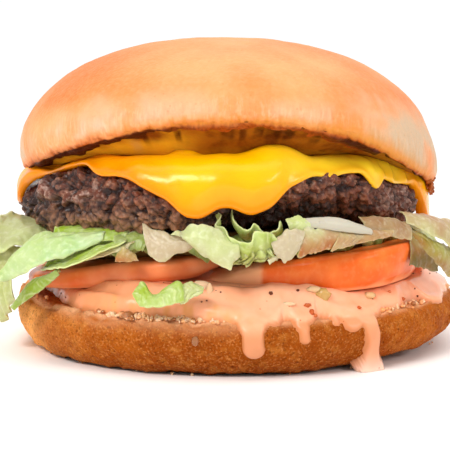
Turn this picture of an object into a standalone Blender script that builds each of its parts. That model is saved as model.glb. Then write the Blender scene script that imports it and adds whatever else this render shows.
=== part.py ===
"""A cheeseburger, built the way the real one is stacked.

From the bottom: the bun's heel, a pool of pink sauce that runs over its edge, two tomato slices, a heap of
torn iceberg lettuce with loose leaves at its sides, the beef patty, a melted cheese slice and the bun's crown.

Sizes are in millimetres, and MM turns them into Blender's metres. +X is to the right, -Y is the front and +Z is
up. Angles are in degrees round the bun's axis, with 0 at the right and -90 at the front.
"""

import math

import bmesh
import bpy
from mathutils import Vector

MM = 0.001
AIR = 0.35  # space kept between neighbouring solids
LEFT = 180.0
RIGHT = 0.0

# Bun heel: a low round of bread whose cut face leans a little towards the front.
HEEL_RADIUS = 56.5
HEEL_HEIGHT = 14.5
HEEL_LEAN = 0.042  # rise of the cut face for each millimetre towards the back
HEEL_STEPS = 48

# Bun crown: an elliptical dome over a cut face that sags at the sides and lifts at the front.
CROWN_RADIUS = 52.6
CROWN_CENTRE_X = -1.5
CROWN_TOP_SHIFT = 1.2  # how far the top of the dome stands to the left of that centre
CROWN_CUT_Z = 48.0
CROWN_SIDE_HEIGHT = 4.6  # from the cut edge up to the widest ring
CROWN_DOME_HEIGHT = 24.1  # from the widest ring up to the top
CROWN_SIDE_SAG = -5.7
CROWN_FRONT_LIFT = 5.0
CROWN_BACK_SAG = -3.5
CROWN_STEPS = 48

# Beef patty, off centre to the left as the crown is.
PATTY_RADIUS = 50.2
PATTY_CENTRE_X = -3.9
PATTY_TOP_Z = 44.8
PATTY_BOTTOM_Z = 31.0
PATTY_EDGE = 5.0  # radius of its rounded upper edge
PATTY_BARE_RISE = 0.8  # its left front, bare of cheese, stands up to the crown
PATTY_STEPS = 48

# Cheese: a square slice, laid cornerwise, that has melted down over the patty.
CHEESE_THICKNESS = 2.2
CHEESE_MELTED_REACH = 50.6  # from the patty's axis over its edge, where the sides of the square have spread
# Each corner: angle, how much further it reaches, and the turns in which it starts and stops to narrow. At the left
# front the slice stops short and leaves the patty bare.
CHEESE_CORNERS = (
    (-93.0, 10.2, 2.0, 28.0),
    (-8.0, 9.2, 9.0, 26.0),
    (86.0, 8.0, 4.0, 30.0),
    (-166.0, 3.6, 4.0, 24.0),
    (-140.0, -7.0, 6.0, 22.0),
)
CHEESE_HANG_DEG = 84.0
CHEESE_BEND_ROOM = 0.45  # more space round the bend, where the patty curves between the rings

# Tomato slices: wedge-cut discs that both rise to the right.
TOMATO_RIGHT = {"centre": (20.5, -19.5), "radius": 26.0, "top_z": 25.4, "rise": 0.12, "thick": 8.2, "wedge": 0.062}
TOMATO_LEFT = {"centre": (-28.0, -16.5), "radius": 21.5, "top_z": 22.9, "rise": 0.165, "thick": 5.5, "wedge": 0.095}
TOMATO_STEPS = 30

# Sauce: deepest just in front of the tomato, thin over the rim, with runs down the crust.
SAUCE_CENTRE_DEPTH = 2.6
SAUCE_RIDGE_DEPTH = 4.8
SAUCE_RIDGE_RADIUS = 47.0
SAUCE_RIM_DEPTH = 1.5
SAUCE_LIP = 1.2  # how far it reaches past the rim between the runs
SAUCE_STEPS = 48
# Each run: angle, how far it flows past the rim, and its half width in degrees.
SAUCE_RUNS = (
    (-86.0, 10.5, 3.2),
    (-74.5, 7.0, 2.4),
    (-58.5, 13.6, 3.6),
    (-30.0, 4.0, 9.0),
    (18.0, 6.0, 5.0),
    (62.0, 8.5, 7.0),
    (104.0, 4.5, 9.0),
    (146.0, 7.0, 7.0),
)
RUN_THICKNESS = 1.1
RUN_START = -3.0  # each run begins this far inside the rim, within the pool
RUN_FLARE = 0.9  # share by which it is wider where it leaves the pool
SKIN_ROOM = 0.2  # more space past the rim, where the crust curves between the rings

# Lettuce heap between the tomato and the patty.
LETTUCE_RADIUS = 49.5
LETTUCE_SKIRT_Z = 22.5  # how low its edge hangs between the tomato slices and the patty
LETTUCE_STEPS = 48

LEAF_THICKNESS = 1.2


# ---------------------------------------------------------------- small helpers


def smooth(value, low, high):
    """0 below low, 1 above high, and an S-curve between them."""
    t = min(1.0, max(0.0, (value - low) / (high - low)))
    return t * t * (3 - 2 * t)


def turn_between(angle, other):
    """The smallest turn between two directions, in degrees."""
    return abs((angle - other + 180.0) % 360.0 - 180.0)


def polar(radius, angle):
    turn = math.radians(angle)
    return radius * math.cos(turn), radius * math.sin(turn)


def material(name, colour, roughness):
    """A plain food material; colour is linear red, green and blue."""
    made = bpy.data.materials.new(name)
    made.use_nodes = True
    shader = made.node_tree.nodes["Principled BSDF"]
    shader.inputs["Base Color"].default_value = (*colour, 1.0)
    shader.inputs["Roughness"].default_value = roughness
    shader.inputs["Metallic"].default_value = 0.0
    return made


def baked_mesh(obj):
    """The object's mesh with its modifiers applied; the object itself is removed."""
    graph = bpy.context.evaluated_depsgraph_get()
    mesh = bpy.data.meshes.new_from_object(obj.evaluated_get(graph))
    bpy.data.objects.remove(obj)
    return mesh


def add_node(name, mesh, look, collection):
    """The finished piece, in the burger's collection and with its own material."""
    obj = bpy.data.objects.new(name, mesh)
    mesh.materials.clear()
    mesh.materials.append(look)
    mesh.shade_smooth()
    mesh.set_sharp_from_angle(angle=math.radians(50))
    collection.objects.link(obj)
    return obj


def turned_layer(name, rings, steps, place, look, collection):
    """A round closed body. Its rings, (share of the radius, level), run from the top pole down the outer side to
    the bottom pole. A Screw turns them, and place(share, angle, level) then says where each point goes, in mm."""
    profile = bpy.data.meshes.new(name)
    ends = [(share, 0.0, level) for share, level in rings]
    profile.from_pydata(ends, [(i, i + 1) for i in range(len(ends) - 1)], [])
    blank = bpy.data.objects.new(name + "_profile", profile)
    collection.objects.link(blank)
    screw = blank.modifiers.new("Turn", "SCREW")
    screw.steps = screw.render_steps = steps
    screw.use_merge_vertices = True
    screw.merge_threshold = 0.00001
    mesh = baked_mesh(blank)
    for vertex in mesh.vertices:
        share = math.hypot(vertex.co.x, vertex.co.y)
        angle = math.degrees(math.atan2(vertex.co.y, vertex.co.x))
        vertex.co = Vector(place(share, angle, vertex.co.z)) * MM
    return add_node(name, mesh, look, collection)


def sheet_blank(name, along, across, place, thickness, collection):
    """A thin closed body: a grid of along by across cells whose points place(u, v) gives in mm, with u from 0 to 1
    and v from -1 to 1, and a Solidify that thickens it to both sides."""
    sheet = bmesh.new()
    bmesh.ops.create_grid(sheet, x_segments=along, y_segments=across, size=1.0)
    for vertex in sheet.verts:
        vertex.co = Vector(place(0.5 * (vertex.co.x + 1.0), vertex.co.y)) * MM
    mesh = bpy.data.meshes.new(name)
    sheet.to_mesh(mesh)
    sheet.free()
    blank = bpy.data.objects.new(name, mesh)
    collection.objects.link(blank)
    solidify = blank.modifiers.new("Thickness", "SOLIDIFY")
    solidify.thickness = thickness * MM
    solidify.offset = 0.0
    return blank


# ---------------------------------------------------------------- bun heel

HEEL_RINGS = (
    (0.0, 1.0),
    (0.4, 1.0),
    (0.72, 1.0),
    (0.9, 1.0),
    (0.945, 1.0),
    (0.975, 0.965),
    (0.993, 0.86),
    (1.0, 0.68),
    (0.992, 0.45),
    (0.968, 0.24),
    (0.93, 0.08),
    (0.885, 0.0),
    (0.5, 0.0),
    (0.0, 0.0),
)


def heel_top(x, y):
    return HEEL_HEIGHT + HEEL_LEAN * y


def heel_point(share, angle, level):
    x, y = polar(HEEL_RADIUS * share, angle)
    return x, y, level * heel_top(x, y)


def heel_path(angle, travelled):
    """(radius, height, outward slope in radius, in height) after going that far over the heel's skin from the
    middle of the cut face, over the rim and down the crust."""
    points = []
    for share, level in HEEL_RINGS:
        x, y, z = heel_point(share, angle, level)
        points.append((math.hypot(x, y), z))
    left = travelled
    for (r0, z0), (r1, z1) in zip(points, points[1:]):
        length = math.hypot(r1 - r0, z1 - z0)
        if left <= length:
            along_r, along_z = (r1 - r0) / length, (z1 - z0) / length
            return r0 + along_r * left, z0 + along_z * left, -along_z, along_r
        left -= length
    raise ValueError("the run of sauce is longer than the crust")


# ---------------------------------------------------------------- layers that follow a skin


def skin_rings(fixed, shares, inner):
    """Rings for turned_layer over a curved body. Index 0, 1, 2 ... are the rings at the fixed distances from the
    middle; a fraction beyond the last is that share of the way on to the edge. inner are the fixed rings that the
    underside repeats."""
    last = len(fixed) - 1
    outer = [(float(index), 1.0) for index in range(last + 1)] + [(last + share, 1.0) for share in shares[:-1]]
    edge = [(last + shares[-1], 0.9), (last + 1.0, 0.5), (last + shares[-1], 0.1)]
    under = [(last + share, 0.0) for share in reversed(shares[:-1])] + [(float(index), 0.0) for index in inner]
    return outer + edge + under


def skin_distance(index, fixed, end):
    """The distance from the middle that such an index stands for, where the edge is at end."""
    last = len(fixed) - 1
    start = min(fixed[last], end - 2.0)
    if index > last:
        return start + (end - start) * (index - last)
    return min(fixed[round(index)], start - 0.5 * (last - index))


# ---------------------------------------------------------------- sauce

RIM_TRAVEL = HEEL_RADIUS * HEEL_RINGS[4][0]
SAUCE_FIXED = (0.0, 20.0, 32.0, 40.0, 46.0, 50.0, RIM_TRAVEL)
SAUCE_RINGS = skin_rings(SAUCE_FIXED, (0.8,), (6, 5, 0))


def tomato_top(tomato, x, y):
    return tomato["top_z"] + tomato["rise"] * (x - tomato["centre"][0])


def tomato_bottom(tomato, x, y):
    return tomato_top(tomato, x, y) - tomato["thick"] - tomato["wedge"] * (x - tomato["centre"][0])


def sauce_depth(x, y, radius):
    """Depth over the cut face, pressed down where a tomato slice lies on it."""
    ridge = 1.0 - smooth(abs(radius - SAUCE_RIDGE_RADIUS), 0.0, 12.0)
    depth = SAUCE_CENTRE_DEPTH + (SAUCE_RIDGE_DEPTH - SAUCE_CENTRE_DEPTH) * ridge
    depth += (SAUCE_RIM_DEPTH - depth) * smooth(radius, SAUCE_RIDGE_RADIUS, RIM_TRAVEL)
    for tomato in (TOMATO_LEFT, TOMATO_RIGHT):
        away = math.hypot(x - tomato["centre"][0], y - tomato["centre"][1]) - tomato["radius"]
        room = tomato_bottom(tomato, x, y) - heel_top(x, y) - 2 * AIR
        depth = min(depth, room + 1.6 * max(0.0, away - 4.0))
    return depth


def sauce_point(index, angle, level):
    travelled = skin_distance(index, SAUCE_FIXED, RIM_TRAVEL + SAUCE_LIP)
    radius, height, out_r, out_z = heel_path(angle, travelled)
    x, y = polar(radius, angle)
    offset = AIR + SKIN_ROOM * smooth(travelled, RIM_TRAVEL - 3.0, RIM_TRAVEL) + sauce_depth(x, y, radius) * level
    x, y = polar(radius + out_r * offset, angle)
    return x, y, height + out_z * offset


def run_point(run, along, side):
    """A tongue of sauce down the crust, wide where it leaves the pool and round at its end."""
    run_angle, length, half_width = run
    travelled = RUN_START + (length - RUN_START) * along
    round_end = (length - travelled) / (HEEL_RADIUS * math.radians(half_width))
    flare = 1.0 + RUN_FLARE * (1.0 - smooth(travelled, 0.0, 4.0))
    width = half_width * flare * math.sqrt(min(1.0, 0.03 + round_end))
    angle = run_angle + width * side
    radius, height, out_r, out_z = heel_path(angle, RIM_TRAVEL + travelled)
    offset = AIR + 2 * SKIN_ROOM + 0.5 * RUN_THICKNESS
    x, y = polar(radius + out_r * offset, angle)
    return x, y, height + out_z * offset


def sauce_node(look, collection):
    """The pool, with the runs joined to it."""
    pool = turned_layer("sauce", SAUCE_RINGS, SAUCE_STEPS, sauce_point, look, collection)
    for index, run in enumerate(SAUCE_RUNS):
        tongue = sheet_blank(f"run_{index}", 8, 3, lambda u, v, run=run: run_point(run, u, v), RUN_THICKNESS, collection)
        join = pool.modifiers.new(tongue.name, "BOOLEAN")
        join.operation = "UNION"
        join.object = tongue
    mesh = bpy.data.meshes.new_from_object(pool.evaluated_get(bpy.context.evaluated_depsgraph_get()))
    for modifier in pool.modifiers:
        bpy.data.objects.remove(modifier.object)
    bpy.data.objects.remove(pool)
    return add_node("sauce", mesh, look, collection)


# ---------------------------------------------------------------- tomato

SLICE_RINGS = ((0.0, 1.0), (0.55, 1.0), (0.95, 1.0), (1.0, 0.8), (1.0, 0.25), (0.95, 0.0), (0.55, 0.0), (0.0, 0.0))


def slice_point(tomato, share, angle, level):
    dx, dy = polar(tomato["radius"] * share, angle)
    x, y = tomato["centre"][0] + dx, tomato["centre"][1] + dy
    low, high = tomato_bottom(tomato, x, y), tomato_top(tomato, x, y)
    return x, y, low + (high - low) * level


# ---------------------------------------------------------------- crown

CROWN_DOME = [
    (math.sin(math.radians(turn)), CROWN_SIDE_HEIGHT + CROWN_DOME_HEIGHT * math.cos(math.radians(turn)))
    for turn in (0.0, 14.0, 28.0, 41.0, 53.0, 64.0, 74.0, 83.0)
]
CROWN_RINGS = CROWN_DOME + [
    (1.0, CROWN_SIDE_HEIGHT),
    (0.995, 2.8),
    (0.978, 1.1),
    (0.955, 0.15),
    (0.93, 0.0),
    (0.75, 0.0),
    (0.5, 0.0),
    (0.25, 0.0),
    (0.0, 0.0),
]


def crown_sag(share, angle):
    """How far the cut face stands above its middle: the sides sag round the patty and the front lifts."""
    across = math.sin(math.radians(angle)) ** 2
    end = CROWN_FRONT_LIFT if angle < 0 else CROWN_BACK_SAG
    return (CROWN_SIDE_SAG + (end - CROWN_SIDE_SAG) * across) * share**3


def crown_point(share, angle, height):
    dx, y = polar(CROWN_RADIUS * share, angle)
    risen = height / (CROWN_SIDE_HEIGHT + CROWN_DOME_HEIGHT)
    x = CROWN_CENTRE_X + dx - CROWN_TOP_SHIFT * risen
    return x, y, CROWN_CUT_Z + height + crown_sag(share, angle) * (1.0 - 0.75 * risen)


# ---------------------------------------------------------------- patty

PATTY_RINGS = (
    (0.0, 1.0),
    (0.35, 1.0),
    (0.65, 1.0),
    (0.82, 1.0),
    (0.9, 1.0),
    (0.965, 0.915),
    (0.997, 0.68),
    (1.0, 0.42),
    (0.975, 0.15),
    (0.92, 0.0),
    (0.65, 0.0),
    (0.35, 0.0),
    (0.0, 0.0),
)


def patty_top(x, y):
    """The patty sags at its sides with the crown above it."""
    dx = x - CROWN_CENTRE_X
    radius, angle = math.hypot(dx, y), math.degrees(math.atan2(y, dx))
    bare = (1.0 - smooth(turn_between(angle, -140.0), 3.0, 14.0)) * smooth(radius, 42.5, 46.5)
    return PATTY_TOP_Z + min(0.3, crown_sag(radius / CROWN_RADIUS, angle)) + PATTY_BARE_RISE * bare


def patty_bottom(x, y):
    """Flat, with a worn hollow under its front right edge and a lower back."""
    dx = x - PATTY_CENTRE_X
    angle = math.degrees(math.atan2(y, dx))
    out = smooth(math.hypot(dx, y), 0.72 * PATTY_RADIUS, PATTY_RADIUS)
    hollow = 4.6 * (1.0 - smooth(turn_between(angle, -58.0), 6.0, 30.0)) * out
    sag = 1.6 * (1.0 - smooth(turn_between(angle, LEFT), 30.0, 75.0)) * out
    return PATTY_BOTTOM_Z + hollow - sag - 0.9 * smooth(y, 0.0, 45.0)


def patty_radius(angle):
    """A hand-formed round: a few broad, shallow waves in its outline."""
    turn = math.radians(angle)
    return PATTY_RADIUS + 0.5 * math.sin(3 * turn + 0.6) + 0.35 * math.sin(5 * turn + 2.0)


def patty_point(share, angle, level):
    dx, y = polar(patty_radius(angle) * share, angle)
    x = PATTY_CENTRE_X + dx
    low, high = patty_bottom(x, y), patty_top(x, y)
    return x, y, low + (high - low) * level


# ---------------------------------------------------------------- cheese

CHEESE_FIXED = (0.0, 18.0, 33.0, 41.0, 45.0, 48.0)
CHEESE_RINGS = skin_rings(CHEESE_FIXED, (0.3, 0.65, 0.95), (5, 4, 3, 2, 1, 0))


def cheese_reach(angle):
    """From the middle of the slice over the patty to its edge: the spread sides with the corners beyond them."""
    reach = CHEESE_MELTED_REACH
    for corner_angle, further, start, stop in CHEESE_CORNERS:
        reach += further * (1.0 - smooth(turn_between(angle, corner_angle), start, stop))
    return reach


def drape(angle, travelled):
    """(radius, height, normal in radius, in height) on the patty's skin, seen from the patty's axis: flat on top,
    round the edge, then nearly straight down."""
    flat = patty_radius(angle) - PATTY_EDGE
    dx, y = polar(min(travelled, flat), angle)
    height = patty_top(PATTY_CENTRE_X + dx, y)
    if travelled <= flat:
        return travelled, height, 0.0, 1.0
    hang = math.radians(CHEESE_HANG_DEG)
    bend = min((travelled - flat) / PATTY_EDGE, hang)
    straight = max(0.0, travelled - flat - PATTY_EDGE * hang)
    radius = flat + PATTY_EDGE * math.sin(bend) + straight * math.cos(hang)
    height -= PATTY_EDGE * (1.0 - math.cos(bend)) + straight * math.sin(hang)
    return radius, height, math.sin(bend), math.cos(bend)


def cheese_point(index, angle, level):
    travelled = skin_distance(index, CHEESE_FIXED, cheese_reach(angle))
    radius, height, out_r, out_z = drape(angle, travelled)
    offset = AIR + CHEESE_BEND_ROOM * smooth(out_r, 0.0, 0.4) + CHEESE_THICKNESS * level
    dx, y = polar(radius + out_r * offset, angle)
    return PATTY_CENTRE_X + dx, y, height + out_z * offset


# ---------------------------------------------------------------- lettuce

LETTUCE_RINGS = (
    (0.0, 1.0),
    (0.35, 1.0),
    (0.65, 1.0),
    (0.85, 1.0),
    (0.95, 0.85),
    (1.0, 0.5),
    (0.95, 0.12),
    (0.85, 0.0),
    (0.72, 0.0),
    (0.58, 0.0),
    (0.44, 0.0),
    (0.3, 0.0),
    (0.15, 0.0),
    (0.0, 0.0),
)
# Leaves that stick out of the heap at the back and the front: angle, how far, half width in degrees.
LETTUCE_LOBES = ((40.0, 6.5, 22.0), (88.0, 8.0, 26.0), (132.0, 7.0, 20.0), (-112.0, 2.0, 14.0), (-84.0, 2.5, 12.0))
LETTUCE_LEAF_ROOM = ((LEFT, 5.0, 50.0), (RIGHT, 5.0, 36.0))  # drawn in where the loose leaves start


def lettuce_radius(angle):
    radius = LETTUCE_RADIUS + 0.8 * math.sin(math.radians(9 * angle)) + 0.6 * math.sin(math.radians(14 * angle + 50))
    for lobe_angle, reach, half_width in LETTUCE_LOBES:
        radius += reach * (1.0 - smooth(turn_between(angle, lobe_angle), 0.25 * half_width, half_width))
    for room_angle, depth, half_width in LETTUCE_LEAF_ROOM:
        radius -= depth * (1.0 - smooth(turn_between(angle, room_angle), 0.5 * half_width, half_width))
    return radius


def over_tomato(tomato, x, y):
    """Height that clears the slice within a few millimetres of it, and falls away outside."""
    away = math.hypot(x - tomato["centre"][0], y - tomato["centre"][1]) - tomato["radius"]
    return tomato_top(tomato, x, y) + 2 * AIR - 1.2 * max(0.0, away - 5.0)


def lettuce_bottom(x, y):
    radius = math.hypot(x, y)
    on_sauce = heel_top(x, y) + sauce_depth(x, y, radius) + 2.5 * AIR
    base = on_sauce + (LETTUCE_SKIRT_Z - on_sauce) * smooth(radius, 34.0, 44.0)
    return max(base, over_tomato(TOMATO_LEFT, x, y), over_tomato(TOMATO_RIGHT, x, y))


def lettuce_point(share, angle, level):
    x, y = polar(lettuce_radius(angle) * share, angle)
    low = lettuce_bottom(x, y)
    high = max(patty_bottom(x, y) - 1.5 * AIR, low + 0.8)
    droop = 0.16 * max(0.0, math.hypot(x, y) - 50.0)
    return x, y, low + (high - low) * level - droop * level


# Loose leaves and scraps: points of the middle line (radius, angle, height), half width and the direction across.
LEAVES = {
    "lettuce_leaf_left": (((47.5, -142, 28.6), (53.0, -144, 28.0), (58.5, -146, 25.6), (63.6, -146, 20.5)), 7.0),
    "lettuce_leaf_far_left": (((48.5, -171, 27.8), (55.0, -170, 27.6), (60.2, -169, 22.5), (61.6, -168, 9.0)), 8.0),
    "lettuce_leaf_right": (((47.0, -8, 29.6), (53.0, -9, 28.8), (58.8, -10, 25.0), (61.8, -11, 17.0)), 9.0),
    "lettuce_scrap_left": (((57.4, -146, 19.0), (58.6, -151, 15.6), (58.9, -156, 12.0)), 2.6),
    "lettuce_scrap_front": (((55.6, -116, 18.2), (56.4, -108, 17.4), (55.6, -100, 18.4)), 3.0),
}
LEAF_ALONG = 7
LEAF_ACROSS = 3


def leaf_point(path, half_width, along, side):
    """A narrow leaf laid along its middle line and cupped across it, narrower towards its tip."""
    points = [Vector((*polar(radius, angle), height)) for radius, angle, height in path]
    place = along * (len(points) - 1)
    index = min(int(place), len(points) - 2)
    start, end = points[index], points[index + 1]
    middle = start.lerp(end, place - index)
    direction = (end - start).normalized()
    outward = Vector((middle.x, middle.y, 0.0)).normalized()
    across = direction.cross(Vector((0, 0, 1)) if abs(direction.z) < 0.6 else outward).normalized()
    width = half_width * (1.0 - 0.55 * along**2)
    lift = across.cross(direction).normalized() * (0.25 * width * (side**2 - 0.5))
    return middle + across * (width * side) + lift


# ---------------------------------------------------------------- the whole burger


def centre_on_origin(nodes):
    """Moves the burger so that the origin is the middle of its underside, measured over its whole box."""
    corners = [vertex.co for node in nodes for vertex in node.data.vertices]
    middle_x = 0.5 * (min(c.x for c in corners) + max(c.x for c in corners))
    middle_y = 0.5 * (min(c.y for c in corners) + max(c.y for c in corners))
    for node in nodes:
        for vertex in node.data.vertices:
            vertex.co -= Vector((middle_x, middle_y, 0.0))


def build():
    for obj in list(bpy.data.objects):
        bpy.data.objects.remove(obj)
    burger = bpy.data.collections.new("cheeseburger")
    bpy.context.scene.collection.children.link(burger)

    bread = material("baked_bread", (0.72, 0.33, 0.11), 0.6)
    sauce = material("pink_sauce", (0.85, 0.45, 0.27), 0.3)
    tomato = material("tomato", (0.80, 0.17, 0.04), 0.3)
    leaf = material("lettuce", (0.48, 0.60, 0.18), 0.45)
    beef = material("beef", (0.12, 0.05, 0.03), 0.55)
    cheese = material("cheese", (0.95, 0.60, 0.02), 0.35)

    nodes = [
        turned_layer("bun_heel", HEEL_RINGS, HEEL_STEPS, heel_point, bread, burger),
        sauce_node(sauce, burger),
        turned_layer("lettuce_heap", LETTUCE_RINGS, LETTUCE_STEPS, lettuce_point, leaf, burger),
        turned_layer("patty", PATTY_RINGS, PATTY_STEPS, patty_point, beef, burger),
        turned_layer("cheese_slice", CHEESE_RINGS, PATTY_STEPS, cheese_point, cheese, burger),
        turned_layer("bun_crown", CROWN_RINGS, CROWN_STEPS, crown_point, bread, burger),
    ]
    for name, cut in (("tomato_slice_left", TOMATO_LEFT), ("tomato_slice_right", TOMATO_RIGHT)):
        nodes.append(
            turned_layer(
                name,
                SLICE_RINGS,
                TOMATO_STEPS,
                lambda share, angle, level, cut=cut: slice_point(cut, share, angle, level),
                tomato,
                burger,
            )
        )
    for name, (path, half_width) in LEAVES.items():
        blank = sheet_blank(
            name + "_sheet",
            LEAF_ALONG,
            LEAF_ACROSS,
            lambda along, side, path=path, half_width=half_width: leaf_point(path, half_width, along, side),
            LEAF_THICKNESS,
            burger,
        )
        nodes.append(add_node(name, baked_mesh(blank), leaf, burger))
    centre_on_origin(nodes)


build()
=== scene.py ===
"""A cheeseburger on a white table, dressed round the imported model.

Each layer is a surface worked out in millimetres from the middle of the bun's heel: +X to the right, -Y to the front,
+Z up. Angles are in degrees round the heel's axis, 0 at the right and -90 at the front. mesh_piece turns the finished
points into metres in the frame.
"""

import itertools
import math

import bpy
import numpy as np
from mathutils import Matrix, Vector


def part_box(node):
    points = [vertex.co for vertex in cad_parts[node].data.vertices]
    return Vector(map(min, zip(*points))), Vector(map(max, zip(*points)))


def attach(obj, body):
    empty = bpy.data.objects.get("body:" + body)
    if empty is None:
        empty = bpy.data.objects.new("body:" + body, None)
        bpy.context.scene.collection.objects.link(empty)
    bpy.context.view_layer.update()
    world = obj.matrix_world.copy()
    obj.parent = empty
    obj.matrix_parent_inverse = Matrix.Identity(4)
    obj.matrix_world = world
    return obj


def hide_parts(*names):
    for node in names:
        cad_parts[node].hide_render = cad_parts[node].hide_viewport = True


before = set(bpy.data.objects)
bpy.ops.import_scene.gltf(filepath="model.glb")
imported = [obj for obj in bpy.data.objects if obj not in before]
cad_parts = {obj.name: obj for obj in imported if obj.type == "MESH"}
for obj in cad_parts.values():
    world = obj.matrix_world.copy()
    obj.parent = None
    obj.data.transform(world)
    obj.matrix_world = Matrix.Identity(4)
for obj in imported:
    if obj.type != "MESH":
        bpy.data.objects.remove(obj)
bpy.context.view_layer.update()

MM = 0.001

heel_low, heel_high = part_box("bun_heel")
AXIS = np.array([(heel_low.x + heel_high.x) / 2, (heel_low.y + heel_high.y) / 2, 0.0]) / MM

HEEL_RADIUS = 56.5
HEEL_HEIGHT = 14.5
HEEL_LEAN = 0.042  # rise of the cut face for each millimetre towards the back

CROWN_RADIUS = 52.6
CROWN_CENTRE_X = -1.5
CROWN_TOP_SHIFT = 1.2
CROWN_CUT_Z = 48.0
CROWN_SIDE_HEIGHT = 4.6
CROWN_DOME_HEIGHT = 24.1
CROWN_SIDE_SAG = -5.7
CROWN_FRONT_LIFT = 5.0
CROWN_BACK_SAG = -3.5

PATTY_RADIUS = 50.2
PATTY_CENTRE_X = -3.9
PATTY_TOP_Z = 44.8
PATTY_BOTTOM_Z = 31.0
PATTY_EDGE = 5.0
# Crumbs of meat: their size, how far they stand out, and their seed.
PATTY_CRUMBS = ((4.0, 1.2, 61), (2.0, 1.25, 67), (1.0, 0.5, 71))

CHEESE_THICKNESS = 2.2
CHEESE_THINNEST = 0.9
CHEESE_GAP = 0.12  # between the slice and the meat
CHEESE_MELTED_REACH = 50.6  # from the patty's axis over its edge, where the sides of the square have spread
# Where the slice hangs further or stops short: angle, how much further, and the turns in which that starts and stops
# to fade.
CHEESE_LOBES = (
    (-90.0, 7.0, 4.0, 27.0),  # the front corner, drawn down over the lettuce
    (-95.5, 2.2, 1.0, 7.0),  # its two tongues
    (-79.5, 2.2, 1.5, 8.0),
    (-48.0, -1.2, 4.0, 14.0),
    (-44.5, 2.8, 0.4, 5.0),  # a small drip
    (-9.0, 9.6, 4.0, 15.0),  # the right corner
    (3.0, 3.5, 2.0, 12.0),
    (34.0, 2.4, 0.5, 5.0),
    (86.0, 8.0, 2.0, 26.0),  # the back corner
    (141.0, 2.3, 1.0, 7.0),
    (-174.0, 2.8, 4.0, 14.0),  # the left corner, turned under
    (-142.0, -4.4, 7.0, 24.0),  # the left front, where the patty is bare
)

FILM_TOP_SHARE = 0.972  # of the crown's radius, where the browned film starts
FILM_FOOT_REACH = 43.5  # how far from the patty's axis it ends at most
FILM_AIR = 0.35  # between the slice and the film
FILM_SINK = 0.3  # how far the film's foot is pressed back to the slice
FILM_THICKNESS = 0.7

SAUCE_BLEND = 1.2  # over which the pool and its drips flow together
SAUCE_EDGE = 1.3  # over which their edge is rounded

# The tomato slices. rise is how much the top climbs and wedge how much the slice thickens for each mm to the right.
# film_end is how far from the left a thick smear of sauce goes, and veil how much sauce is smeared over the rim. slant
# cuts the lower rim back at the right. tip draws the rim out: direction, start and stop in degrees, share of the
# radius, and how much the faces close on each mm of it.
TOMATO_RIGHT = {
    "centre": (20.5, -19.5),
    "radius": 26.0,
    "top_z": 25.4,
    "rise": 0.12,
    "thick": 8.2,
    "wedge": 0.062,
    "film_end": 6.5,
    "veil": 0.0,
    "slant": 0.12,
    "tip": (-147.0, 8.0, 38.0, 0.24, 0.35),
}
TOMATO_LEFT = {
    "centre": (-28.0, -16.5),
    "radius": 21.5,
    "top_z": 22.9,
    "rise": 0.165,
    "thick": 5.5,
    "wedge": 0.095,
    "film_end": -99.0,
    "veil": 0.5,
    "slant": 0.0,
    "tip": (-36.0, 14.0, 56.0, 0.5, 0.13),
}

LETTUCE_CORE_RADIUS = 43.5
APRON_START = 44.0  # how far from the axis the hanging leaves come out

CAMERA_PLACE = (-2.2, -280.0, 50.0)
CAMERA_PITCH = 4.34  # degrees down
CAMERA_LENS = 86.24
PAPER_HALF_SIDE = 3.0  # metres


# ---------------------------------------------------------------- numbers and patterns


def smooth(value, low, high):
    """0 below low, 1 above high, and an S-curve, 3t^2 - 2t^3, between them."""
    t = np.clip((value - low) / (high - low), 0.0, 1.0)
    return t * t * (3 - 2 * t)


def turn_between(angle, other):
    """The smallest turn between two directions, in degrees."""
    return np.abs((angle - other + 180.0) % 360.0 - 180.0)


def near(angle, centre, start, stop):
    """1 within start degrees of the centre direction, 0 beyond stop, and an S-curve between them."""
    return 1.0 - smooth(turn_between(angle, centre), start, stop)


def hump(value, centre, width):
    """A bell of height 1: e to the minus square of the distance in widths."""
    return np.exp(-(((value - centre) / width) ** 2))


def polar(radius, angle):
    """x and y of a distance and a direction in degrees."""
    return radius * np.cos(np.radians(angle)), radius * np.sin(np.radians(angle))


def stacked(x, y, z):
    """One array of points from arrays of their coordinates."""
    return np.stack(np.broadcast_arrays(x, y, z), axis=-1).astype(float)


def outward(angle):
    """Level unit vectors in those directions."""
    return stacked(*polar(1.0, angle), 0 * angle)


def on_line(distance):
    """Points at those distances along one line, to read noise that changes only along it."""
    return stacked(distance, 0 * distance, 0 * distance)


def scramble(cells, seed):
    """A number from 0 to 1 for each whole-number cell: its indices times large odd numbers, mixed by shifts."""
    index = cells.astype(np.int64)
    mixed = (index[..., 0] * 73856093) ^ (index[..., 1] * 19349663) ^ (index[..., 2] * 83492791) ^ (seed * 40503 + 7)
    mixed = ((mixed ^ (mixed >> 13)) * 1274126177) & 0xFFFFFFFF
    mixed = ((mixed ^ (mixed >> 15)) * 2246822519) & 0xFFFFFFFF
    return (mixed ^ (mixed >> 16)) / 4294967295.0


def rough(points, size, seed, octaves=2):
    """Smooth noise of about -1 to 1: random values at the corners of a lattice of that size in mm, blended with an
    S-curve between them. Each further octave halves the size and the strength."""
    total = np.zeros(points.shape[:-1])
    for octave in range(octaves):
        place = points * (2**octave / size) + 17.3 * (octave + 1)
        corner = np.floor(place)
        part = place - corner
        part = part * part * (3 - 2 * part)
        value = np.zeros(points.shape[:-1])
        for step in itertools.product((0, 1), repeat=3):
            weight = np.prod(np.where(np.array(step) == 1, part, 1 - part), axis=-1)
            value += weight * scramble(corner + np.array(step), seed + octave)
        total += (2 * value - 1) * 0.5**octave
    return total


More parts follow.
